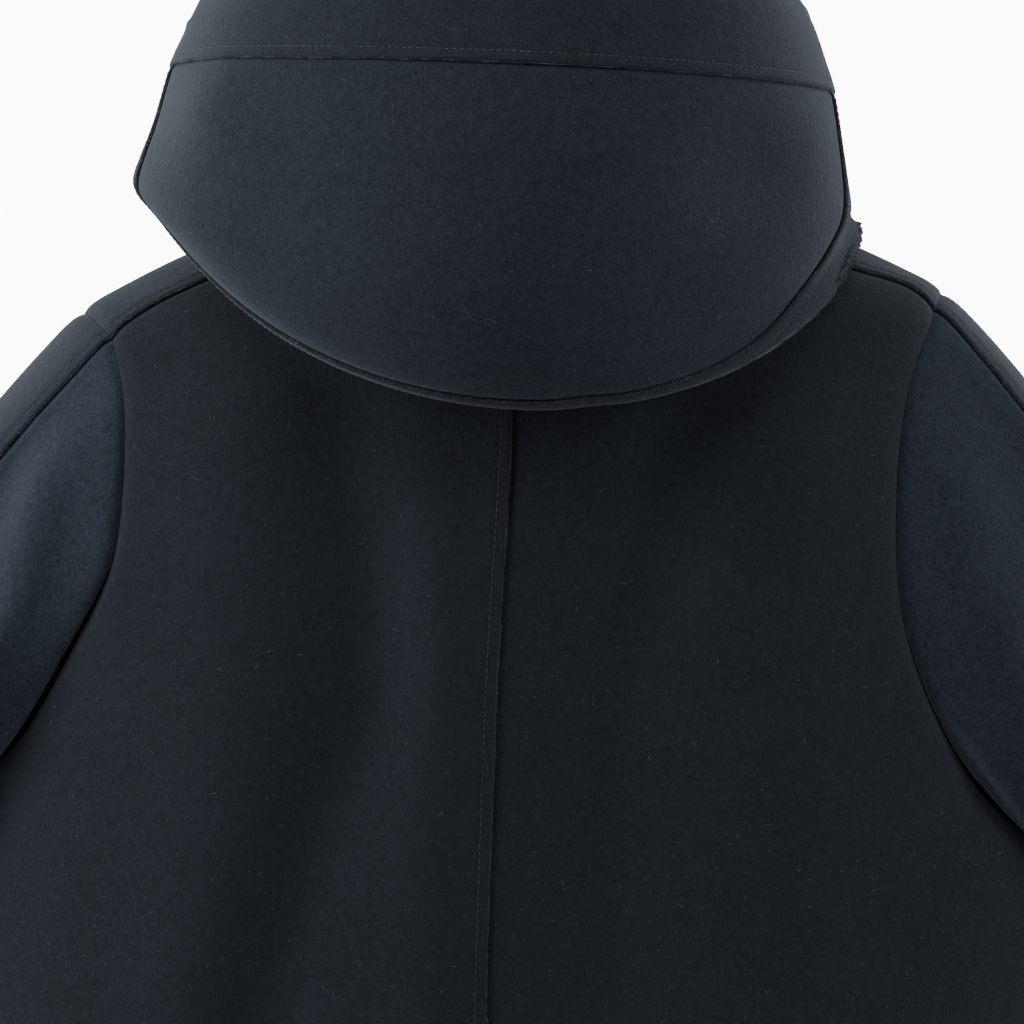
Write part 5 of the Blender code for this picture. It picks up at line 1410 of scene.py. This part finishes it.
class CoatSizes(bpy.types.PropertyGroup):
    """Sizes of the sewing and of the loose fibres."""

    stitch_pitch: bpy.props.FloatProperty(
        name="Stitch Pitch", description="From one stitch to the next", default=0.0034,
        min=0.001, max=0.01, subtype="DISTANCE", unit="LENGTH")
    stitch_length: bpy.props.FloatProperty(
        name="Stitch Length", description="Length of the thread that shows in a stitch",
        default=0.0021, min=0.0005, max=0.01, subtype="DISTANCE", unit="LENGTH")
    thread_radius: bpy.props.FloatProperty(
        name="Thread Radius", description="Half the thickness of the thread",
        default=0.00016, min=0.00005, max=0.001, subtype="DISTANCE", unit="LENGTH")
    fibre_length: bpy.props.FloatProperty(
        name="Fibre Length", description="Length of a loose fibre", default=0.0018,
        min=0.0005, max=0.02, subtype="DISTANCE", unit="LENGTH")
    fibre_density: bpy.props.FloatProperty(
        name="Fibres", description="Loose fibres on each square metre of cloth",
        default=5300.0, min=0.0, max=40000.0)
    fibre_radius: bpy.props.FloatProperty(
        name="Fibre Radius", description="Half the thickness of a fibre", default=0.00004,
        min=0.00001, max=0.0005, subtype="DISTANCE", unit="LENGTH")
    fuzz_length: bpy.props.FloatProperty(
        name="Edge Fibre Length", description="Length of the fibres at the raw edges",
        default=0.0017, min=0.0002, max=0.01, subtype="DISTANCE", unit="LENGTH")
    fuzz_pitch: bpy.props.FloatProperty(
        name="Edge Fibre Pitch", description="From one fibre of a raw edge to the next",
        default=0.00042, min=0.0001, max=0.01, subtype="DISTANCE", unit="LENGTH")
    seed: bpy.props.IntProperty(
        name="Seed", description="Chooses where the loose fibres lie", default=7, min=0)


# ---------------------------------------------------------------- sewing and loose fibres

HAIR_SPANS = 2
STITCH_RISE = 0.16        # a stitch arches by this share of its length
STITCH_LIFT = 0.00005
SHOULDER_STITCH_COLUMN = 6
FULL_TURN = 2 * np.pi
FIBRE_BEND = 0.28
FIBRE_SCALES = (0.35, 1.5)
# Least and most turns of a fibre about its own axes, and the seeds of its turns and size
FIBRE_TURNS = ((-0.5, -0.5, 0.0), (0.5, 0.5, FULL_TURN))
FIBRE_SEEDS = (11, 21)
EDGE_TURNS = ((-0.6, -0.9, -1.5), (0.6, 0.5, 1.5))
EDGE_SEEDS = (31, 41)
HIDDEN_BELOW = -0.0013    # cloth this far below the form is under another panel: no fibres
# Long fibres lying on the hood: places along each as turn and w
LONG_FIBRES = (
    ((0.36, 0.285), (0.345, 0.27), (0.33, 0.262), (0.315, 0.268), (0.305, 0.285), (0.302, 0.305)),
    ((-0.62, 0.40), (-0.63, 0.415), (-0.65, 0.42), (-0.67, 0.41), (-0.68, 0.39)),
    ((0.08, 0.50), (0.06, 0.515), (0.04, 0.52), (0.01, 0.515), (-0.01, 0.52)),
)
LONG_FIBRE_LIFT = 0.0004
LONG_FIBRE_ARCH = 2.0     # its middle lies this many more lifts off the cloth
LONG_FIBRE_POINTS = 14
PITCHED = (("Pitch", "Float"), ("Length", "Float"), ("Radius", "Float"))


class Wiring:
    """Short ways to build a geometry node group."""

    def __init__(self, name, settings):
        self.group = bpy.data.node_groups.new(name, "GeometryNodeTree")
        make = self.group.interface.new_socket
        make(name="Geometry", in_out="INPUT", socket_type="NodeSocketGeometry")
        self.keys = {}
        for label, kind in settings:
            socket = make(name=label, in_out="INPUT", socket_type=f"NodeSocket{kind}")
            self.keys[label] = socket.identifier
        make(name="Geometry", in_out="OUTPUT", socket_type="NodeSocketGeometry")
        self.start = self.group.nodes.new("NodeGroupInput")
        self.end = self.group.nodes.new("NodeGroupOutput")

    def node(self, kind, links=None, **settings):
        """A node with its settings, its inputs linked to sockets or set to values."""
        node = self.group.nodes.new(kind)
        for name, value in settings.items():
            setattr(node, name, value)
        for place, value in (links or {}).items():
            if isinstance(value, bpy.types.NodeSocket):
                self.group.links.new(value, node.inputs[place])
            else:
                node.inputs[place].default_value = value
        return node

    def given(self, label):
        return self.start.outputs[label]

    def attribute(self, name):
        node = self.node("GeometryNodeInputNamedAttribute", {"Name": name},
                         data_type="FLOAT_VECTOR")
        return node.outputs["Attribute"]

    def times(self, value, share):
        return self.node("ShaderNodeMath", {0: value, 1: share}, operation="MULTIPLY").outputs[0]

    def random(self, low, high, seed):
        node = self.node("FunctionNodeRandomValue", {"Seed": seed}, data_type="FLOAT")
        sockets = [socket for socket in node.inputs if socket.enabled]
        for socket, value in zip(sockets, (low, high)):
            socket.default_value = value
        return next(socket for socket in node.outputs if socket.enabled)

    def hair(self, length, bend, radius):
        """A closed bent hair of length one across X, scaled by its length."""
        half = self.times(length, 0.5)
        less = self.times(length, -0.5)
        lift = self.times(length, bend)
        start = self.node("ShaderNodeCombineXYZ", {0: less})
        middle = self.node("ShaderNodeCombineXYZ", {1: lift, 2: lift})
        end = self.node("ShaderNodeCombineXYZ", {0: half})
        line = self.node("GeometryNodeCurveQuadraticBezier", {
            "Resolution": HAIR_SPANS, "Start": start.outputs[0], "Middle": middle.outputs[0],
            "End": end.outputs[0]})
        ring = self.node("GeometryNodeCurvePrimitiveCircle", {"Resolution": 3, "Radius": radius})
        return self.node("GeometryNodeCurveToMesh", {
            "Curve": line.outputs[0], "Profile Curve": ring.outputs[0],
            "Fill Caps": True}).outputs[0]

    def aligned(self, way, along):
        """A rotation whose Z follows the way out and whose X follows a line."""
        turn = self.node("FunctionNodeAlignRotationToVector", {"Vector": way}, axis="Z")
        return self.node("FunctionNodeAlignRotationToVector", {
            "Rotation": turn.outputs[0], "Vector": along}, axis="X", pivot_axis="Z").outputs[0]

    def turned(self, rotation, low, high, seed):
        """A rotation followed by small random turns about its own axes."""
        turns = [self.random(low[axis], high[axis], seed + axis) for axis in range(3)]
        angles = self.node("ShaderNodeCombineXYZ", dict(enumerate(turns)))
        own = self.node("FunctionNodeEulerToRotation", {0: angles.outputs[0]})
        return self.node("FunctionNodeRotateRotation", {
            0: rotation, 1: own.outputs[0]}, rotation_space="LOCAL").outputs[0]

    def placed(self, points, thing, rotation, scale, material):
        spread = self.node("GeometryNodeInstanceOnPoints", {
            "Points": points, "Instance": thing, "Rotation": rotation, "Scale": scale})
        self.finish(spread.outputs[0], material)

    def finish(self, geometry, material):
        """Give the group's result its material."""
        real = self.node("GeometryNodeRealizeInstances", {0: geometry})
        dressed = self.node("GeometryNodeSetMaterial", {
            "Geometry": real.outputs[0], "Material": material})
        self.group.links.new(dressed.outputs[0], self.end.inputs[0])

    def pitched(self):
        """Points one pitch apart on the given lines, with a rotation that follows them."""
        line = self.node("GeometryNodeMeshToCurve", {"Mesh": self.given("Geometry")})
        points = self.node("GeometryNodeCurveToPoints", {
            "Curve": line.outputs[0], "Length": self.given("Pitch")}, mode="LENGTH").outputs
        return points["Points"], self.aligned(self.attribute("way"), points["Tangent"])


def stitch_group(material):
    """Even stitches along lines: each a short arched thread laid along its line."""
    wiring = Wiring("topstitches", PITCHED)
    points, rotation = wiring.pitched()
    thing = wiring.hair(wiring.given("Length"), STITCH_RISE, wiring.given("Radius"))
    wiring.placed(points, thing, rotation, (1.0, 1.0, 1.0), material)
    return wiring


def fibre_group(material):
    """Loose fibres scattered over a face, each lying nearly flat on it."""
    wiring = Wiring("loose_fibres", (("Density", "Float"), ("Length", "Float"),
                                     ("Radius", "Float"), ("Seed", "Int")))
    points = wiring.node("GeometryNodeDistributePointsOnFaces", {
        "Mesh": wiring.given("Geometry"), "Density": wiring.given("Density"),
        "Seed": wiring.given("Seed")})
    thing = wiring.hair(wiring.given("Length"), FIBRE_BEND, wiring.given("Radius"))
    rotation = wiring.turned(points.outputs["Rotation"], *FIBRE_TURNS, FIBRE_SEEDS[0])
    scale = wiring.random(*FIBRE_SCALES, FIBRE_SEEDS[1])
    wiring.placed(points.outputs["Points"], thing, rotation, scale, material)
    return wiring


def fuzz_group(material):
    """Short fibres that stand out of a raw edge."""
    wiring = Wiring("raw_edge_fibres", PITCHED)
    points, rotation = wiring.pitched()
    thing = wiring.hair(wiring.given("Length"), FIBRE_BEND, wiring.given("Radius"))
    rotation = wiring.turned(rotation, *EDGE_TURNS, EDGE_SEEDS[0])
    wiring.placed(points, thing, rotation, wiring.random(*FIBRE_SCALES, EDGE_SEEDS[1]), material)
    return wiring


def grown(name, source, wiring, values, slot):
    """Evaluate a node group on a mesh and keep its result as a plain mesh."""
    carrier = bpy.data.objects.new(f"{name}_source", source)
    bpy.context.scene.collection.objects.link(carrier)
    modifier = carrier.modifiers.new(name, "NODES")
    modifier.node_group = wiring.group
    for label, value in values.items():
        modifier[wiring.keys[label]] = value
    carrier.update_tag()
    ready = carrier.evaluated_get(bpy.context.evaluated_depsgraph_get())
    mesh = bpy.data.meshes.new_from_object(ready)
    bpy.data.objects.remove(carrier)
    if not len(mesh.polygons):
        raise RuntimeError(f"{name} came out empty")
    return finished(bpy.data.objects.new(name, mesh), slot)


def line_mesh(name, lines):
    """Lines with the way out of the cloth at each point."""
    mesh = bpy.data.meshes.new(name)
    points = np.concatenate([line for line, way in lines])
    edges = []
    start = 0
    for line, way in lines:
        edges += [(start + step, start + step + 1) for step in range(len(line) - 1)]
        start += len(line)
    mesh.from_pydata(points.tolist(), edges, [])
    ways = np.concatenate([way for line, way in lines])
    mesh.attributes.new("way", "FLOAT_VECTOR", "POINT")
    mesh.attributes["way"].data.foreach_set("vector", ways.ravel())
    return mesh


def strand_group(material):
    """Long fibres: a thin closed tube along each line."""
    wiring = Wiring("long_fibres", (("Radius", "Float"),))
    line = wiring.node("GeometryNodeMeshToCurve", {"Mesh": wiring.given("Geometry")})
    ring = wiring.node("GeometryNodeCurvePrimitiveCircle", {
        "Resolution": 4, "Radius": wiring.given("Radius")})
    tube = wiring.node("GeometryNodeCurveToMesh", {
        "Curve": line.outputs[0], "Profile Curve": ring.outputs[0], "Fill Caps": True})
    wiring.finish(tube.outputs[0], material)
    return wiring


def lifted(lines, height):
    return [(line + way * height, way) for line, way in lines]


def seam_lines():
    """Lines of topstitching and lines of raw edges, with the ways out of the cloth."""
    stitched, edges = [], []
    stitch = NEAR.index(STITCH_LINE)

    def take(net, kept, *where):
        outer = net.faces()[0]
        kept.append((outer[where], net.way[where]))

    for net, first in ((back_net("left"), 0), (sleeve_net("left", -1), 0),
                       (sleeve_net("right", -1), 0)):
        take(net, edges, slice(None), first)
        take(net, stitched, slice(None), first + stitch)
    for side in ("left", "right"):
        net = front_net(side)
        shoulder = slice(0, SHOULDER_ROWS + 1)
        take(net, edges, shoulder, -1)
        take(net, stitched, shoulder, -SHOULDER_STITCH_COLUMN)
    side_rim = slice(HOOD_FRONT_COLUMNS, -HOOD_FRONT_COLUMNS)
    take(side_net(), edges, 2, side_rim)
    take(side_net(), stitched, 2 + stitch, side_rim)
    take(band_net(), edges, 0, slice(None))
    take(band_net(), stitched, stitch, slice(None))
    return stitched, edges


def long_fibre_lines():
    lines = []
    for places in LONG_FIBRES:
        knots = np.array(places)
        share = np.linspace(0.0, 1.0, LONG_FIBRE_POINTS)
        at = np.linspace(0.0, 1.0, len(knots))
        turn = np.interp(share, at, knots[:, 0])
        w = np.interp(share, at, knots[:, 1])
        points, way = hood_points(turn, w)
        arch = np.sin(np.pi * share)[:, None]
        lines.append((points + way * LONG_FIBRE_LIFT * (1.0 + LONG_FIBRE_ARCH * arch), way))
    return lines


def outer_skins():
    """The outer faces of all the cloth in one mesh: the loose fibres lie on it."""
    points, faces = [], []
    start = 0
    nets = [(back_net("left"), False), (back_net("right"), True), (front_net("left"), False),
            (front_net("right"), True), (crown_net(), False), (side_net(), False),
            (band_net(), False)]
    nets += [(sleeve_net(side, face), side == "right") for side in ("left", "right")
             for face in (1, -1)]
    for net, flip in nets:
        outer = net.faces()[0]
        rows, columns = outer.shape[:2]
        seen = net.outer[:-1, :-1] > HIDDEN_BELOW
        quads = grid_quads(rows, columns)[net.present & seen] + start
        faces += (quads[:, ::-1] if flip else quads).tolist()
        points.append(outer.reshape(-1, 3))
        start += rows * columns
    mesh = bpy.data.meshes.new("outer_faces")
    mesh.from_pydata(np.concatenate(points).tolist(), [], faces)
    return mesh


# ---------------------------------------------------------------- pieces

# Each cloth piece: its CAD node, the flat size it is cut from, its flat area and its painted
# light, a factor that makes the one wool colour lighter or darker for how light and shade fall on
# the piece
CLOTH = {
    "back_left": dict(flat=(0.345, 0.860), area=0.257, painted_light_and_paper_tone=0.80),
    "back_right": dict(flat=(0.370, 0.860), area=0.280, painted_light_and_paper_tone=0.84),
    "front_left": dict(flat=(0.400, 0.840), area=0.293, painted_light_and_paper_tone=0.95),
    "front_right": dict(flat=(0.400, 0.840), area=0.291, painted_light_and_paper_tone=0.95),
    "sleeve_left_back": dict(flat=(0.190, 0.560), area=0.076, painted_light_and_paper_tone=1.75),
    "sleeve_left_front": dict(flat=(0.230, 0.620), area=0.106, painted_light_and_paper_tone=1.25),
    "sleeve_right_back": dict(flat=(0.210, 0.590), area=0.084, painted_light_and_paper_tone=1.40),
    "sleeve_right_front": dict(flat=(0.240, 0.640), area=0.110, painted_light_and_paper_tone=1.10),
    "hood_crown": dict(flat=(0.400, 0.220), area=0.060, painted_light_and_paper_tone=1.14),
    "hood_side": dict(flat=(0.620, 0.260), area=0.082, painted_light_and_paper_tone=1.0),
    "hood_band": dict(flat=(0.780, 0.110), area=0.065, painted_light_and_paper_tone=1.04),
}
BUTTONS = tuple(f"button_{number}" for number in range(1, 6))


def finished(thing, slot, *nodes):
    """Put a piece in the scene, on the coat's one body, in place of its solids."""
    if thing.name not in bpy.context.scene.collection.objects:
        bpy.context.scene.collection.objects.link(thing)
    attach(thing, "root")
    if nodes:
        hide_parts(*nodes)
    return thing


def cloth_piece(node, net, flip):
    """One cut piece of the coat as a thin closed shell."""
    cut = CLOTH[node]
    piece = bpy.data.objects.new(f"cloth_{node}", shell_mesh(f"cloth_{node}", net, flip))
    # the piece's wool colour is lightened or darkened by its factor of painted light
    piece.data.materials.append(wool_material_with_painted_light(f"wool_{node}", cut["painted_light_and_paper_tone"]))
    finished(piece, "wool", node)
    return piece


class COAT_OT_backs(bpy.types.Operator):
    """Make both back panels, the left one lapped over the right one"""

    bl_idname = "coat.backs"
    bl_label = "Back Panels"

    def execute(self, context):
        for side in ("left", "right"):
            cloth_piece(f"back_{side}", back_net(side), side == "right")
        return {"FINISHED"}


class COAT_OT_fronts(bpy.types.Operator):
    """Make both front panels, the right one buttoned over the left one"""

    bl_idname = "coat.fronts"
    bl_label = "Front Panels"

    def execute(self, context):
        for side in ("left", "right"):
            cloth_piece(f"front_{side}", front_net(side), side == "right")
        return {"FINISHED"}


class COAT_OT_sleeves(bpy.types.Operator):
    """Make the back and the front of each sleeve"""

    bl_idname = "coat.sleeves"
    bl_label = "Sleeves"

    def execute(self, context):
        for side in ("left", "right"):
            for face, label in ((1, "back"), (-1, "front")):
                cloth_piece(f"sleeve_{side}_{label}", sleeve_net(side, face), side == "right")
        return {"FINISHED"}


class COAT_OT_hood(bpy.types.Operator):
    """Make the hood's crown, its side panel and the band round its opening"""

    bl_idname = "coat.hood"
    bl_label = "Hood"

    def execute(self, context):
        cloth_piece("hood_crown", crown_net(), False)
        cloth_piece("hood_side", side_net(), False)
        cloth_piece("hood_band", band_net(), False)
        return {"FINISHED"}


class COAT_OT_sewing(bpy.types.Operator):
    """Sew the seams with even topstitches and roughen the raw edges with short fibres"""

    bl_idname = "coat.sewing"
    bl_label = "Sewing"

    def execute(self, context):
        sizes = context.scene.coat_sizes
        stitched, edges = seam_lines()
        grown("topstitches", line_mesh("stitch_lines", lifted(stitched, STITCH_LIFT)),
              stitch_group(thread_material()),
              {"Pitch": sizes.stitch_pitch, "Length": sizes.stitch_length,
               "Radius": sizes.thread_radius}, "wool")
        grown("raw_edge_fibres", line_mesh("raw_edges", edges),
              # the edge fibres' pale colour is painted sheen at the raw edges
              fuzz_group(fibre_material("edge_fibre", look_colour("edge_fibre_colour_with_painted_sheen"))),
              {"Pitch": sizes.fuzz_pitch, "Length": sizes.fuzz_length,
               "Radius": sizes.fibre_radius}, "wool")
        return {"FINISHED"}


class COAT_OT_fibres(bpy.types.Operator):
    """Scatter loose fibres over the cloth and lay a few long ones along listed lines"""

    bl_idname = "coat.fibres"
    bl_label = "Loose Fibres"

    def execute(self, context):
        sizes = context.scene.coat_sizes
        fibre = fibre_material("loose_fibre", look_colour("fibre_colour"))
        grown("loose_fibres", outer_skins(), fibre_group(fibre),
              {"Density": sizes.fibre_density, "Length": sizes.fibre_length,
               "Radius": sizes.fibre_radius, "Seed": sizes.seed}, "wool")
        grown("long_fibres", line_mesh("long_fibre_lines", long_fibre_lines()),
              strand_group(fibre), {"Radius": sizes.fibre_radius}, "wool")
        return {"FINISHED"}


class COAT_OT_buttons(bpy.types.Operator):
    """Give the buttons their horn"""

    bl_idname = "coat.buttons"
    bl_label = "Buttons"

    def execute(self, context):
        for name in BUTTONS:
            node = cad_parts[name]
            node.data.materials.clear()
            node.data.materials.append(horn_material(f"horn_{name}"))
        return {"FINISHED"}


# ---------------------------------------------------------------- stage

PHOTO_PLANE_Y = 0.10      # the photograph's scale is taken on this plane
PHOTO_WIDTH = 0.4763      # metres across the view on that plane
CAMERA_AWAY = 3.20
CAMERA_Z = -0.1567
SENSOR = 36.0
CLIP_END = 50.0
FLOOR_Z = -1.42
FLOOR_HALF = 9
CORNERS = ((-1, -1), (1, -1), (1, 1), (-1, 1))
PAPER = (0.93, 0.93, 0.93)
WHITE = (1.0, 1.0, 1.0, 1.0)
PAPER_SHADE = 0.985       # the paper's tone varies a little
WORLD_STRENGTH = 0.13
BACKDROP_Y = -5.0
BACKDROP_HALF = 1.3
BACKDROP_STRENGTH = 11.0
LIGHTS = table_of("name place aim size power", (
    ("overhead", (0.3, 0.9, 1.1), (0.0, 0.1, 0.0), (0.9, 0.7), 9.0),
    ("left_window", (2.3, 0.5, 0.5), (0.2, 0.0, -0.2), (0.8, 1.4), 60.0),
    ("right_window", (-2.3, 0.5, 0.5), (-0.2, 0.0, -0.2), (0.8, 1.4), 32.0),
    ("left_rim", (2.0, -1.7, 0.7), (0.1, 0.0, -0.1), (1.4, 2.2), 40.0),
    ("right_rim", (-2.0, -1.7, 0.7), (-0.1, 0.0, -0.1), (1.4, 2.2), 40.0),
))


def stage_sheet(name, corners):
    """A wide sheet of paper behind or under the coat."""
    mesh = bpy.data.meshes.new(name)
    mesh.from_pydata(corners, [], [(0, 1, 2, 3)])
    sheet = bpy.data.objects.new(name, mesh)
    material, tree, shader, place = new_material(name)
    tone = noise(tree, place, 3.0, 2.0, 0.5)
    painted_light_and_paper_tone = tuple(part * PAPER_SHADE for part in PAPER)
    tree.links.new(ramp(tree, tone, ((0.3, painted_light_and_paper_tone), (0.7, PAPER))), shader.inputs["Base Color"])
    shader.inputs["Roughness"].default_value = 0.9
    mesh.materials.append(material)
    bpy.context.scene.collection.objects.link(sheet)
    return sheet


def soft_light(name, place, aim, size, power):
    data = bpy.data.lights.new(name, "AREA")
    data.shape = "RECTANGLE"
    data.size, data.size_y = size
    data.energy = power
    light = bpy.data.objects.new(name, data)
    light.location = place
    light.rotation_euler = (Vector(aim) - Vector(place)).to_track_quat("-Z", "Y").to_euler()
    bpy.context.scene.collection.objects.link(light)
    return light


class COAT_OT_stage(bpy.types.Operator):
    """Make the floor, the backdrop, the lights and the camera"""

    bl_idname = "coat.stage"
    bl_label = "Stage"

    def execute(self, context):
        stage_sheet("floor", [(FLOOR_HALF * x, FLOOR_HALF * y, FLOOR_Z) for x, y in CORNERS])
        backdrop = stage_sheet("backdrop", [
            (-BACKDROP_HALF * x, BACKDROP_Y, CAMERA_Z + BACKDROP_HALF * z) for x, z in CORNERS])
        glow = backdrop.data.materials[0].node_tree.nodes["Principled BSDF"].inputs
        glow["Emission Color"].default_value = WHITE
        glow["Emission Strength"].default_value = BACKDROP_STRENGTH
        for light in LIGHTS:
            soft_light(**light)
        world = bpy.data.worlds.new("studio")
        world.use_nodes = True
        air = world.node_tree.nodes["Background"].inputs
        air["Color"].default_value = WHITE
        air["Strength"].default_value = WORLD_STRENGTH
        context.scene.world = world
        data = bpy.data.cameras.new("camera")
        data.sensor_width = SENSOR
        data.lens = SENSOR * CAMERA_AWAY / PHOTO_WIDTH
        data.clip_end = CLIP_END
        camera = bpy.data.objects.new("camera", data)
        camera.location = (0.0, PHOTO_PLANE_Y + CAMERA_AWAY, CAMERA_Z)
        camera.rotation_euler = (np.pi / 2, 0.0, np.pi)
        context.scene.collection.objects.link(camera)
        context.scene.camera = camera
        return {"FINISHED"}


class COAT_PT_panel(bpy.types.Panel):
    """The coat's pieces, colours and sizes"""

    bl_label = "Hooded Wool Coat"
    bl_idname = "COAT_PT_panel"
    bl_space_type = "VIEW_3D"
    bl_region_type = "UI"
    bl_category = "Coat"

    def draw(self, context):
        for operator in OPERATORS:
            self.layout.operator(operator.bl_idname)
        for group in (context.scene.coat_look, context.scene.coat_sizes):
            for name in group.__annotations__:
                self.layout.prop(group, name)


GROUPS = (CoatLook, CoatSizes)
OPERATORS = (COAT_OT_backs, COAT_OT_fronts, COAT_OT_sleeves, COAT_OT_hood, COAT_OT_sewing,
             COAT_OT_fibres, COAT_OT_buttons, COAT_OT_stage)
CLASSES = GROUPS + OPERATORS + (COAT_PT_panel,)


def register():
    for item in CLASSES:
        bpy.utils.register_class(item)
    bpy.types.Scene.coat_look = bpy.props.PointerProperty(type=CoatLook)
    bpy.types.Scene.coat_sizes = bpy.props.PointerProperty(type=CoatSizes)


def unregister():
    del bpy.types.Scene.coat_sizes
    del bpy.types.Scene.coat_look
    for item in reversed(CLASSES):
        bpy.utils.unregister_class(item)


def main():
    register()
    bpy.ops.coat.stage()
    bpy.ops.coat.backs()
    bpy.ops.coat.fronts()
    bpy.ops.coat.sleeves()
    bpy.ops.coat.hood()
    bpy.ops.coat.sewing()
    bpy.ops.coat.fibres()
    bpy.ops.coat.buttons()


if __name__ == "__main__":
    main()
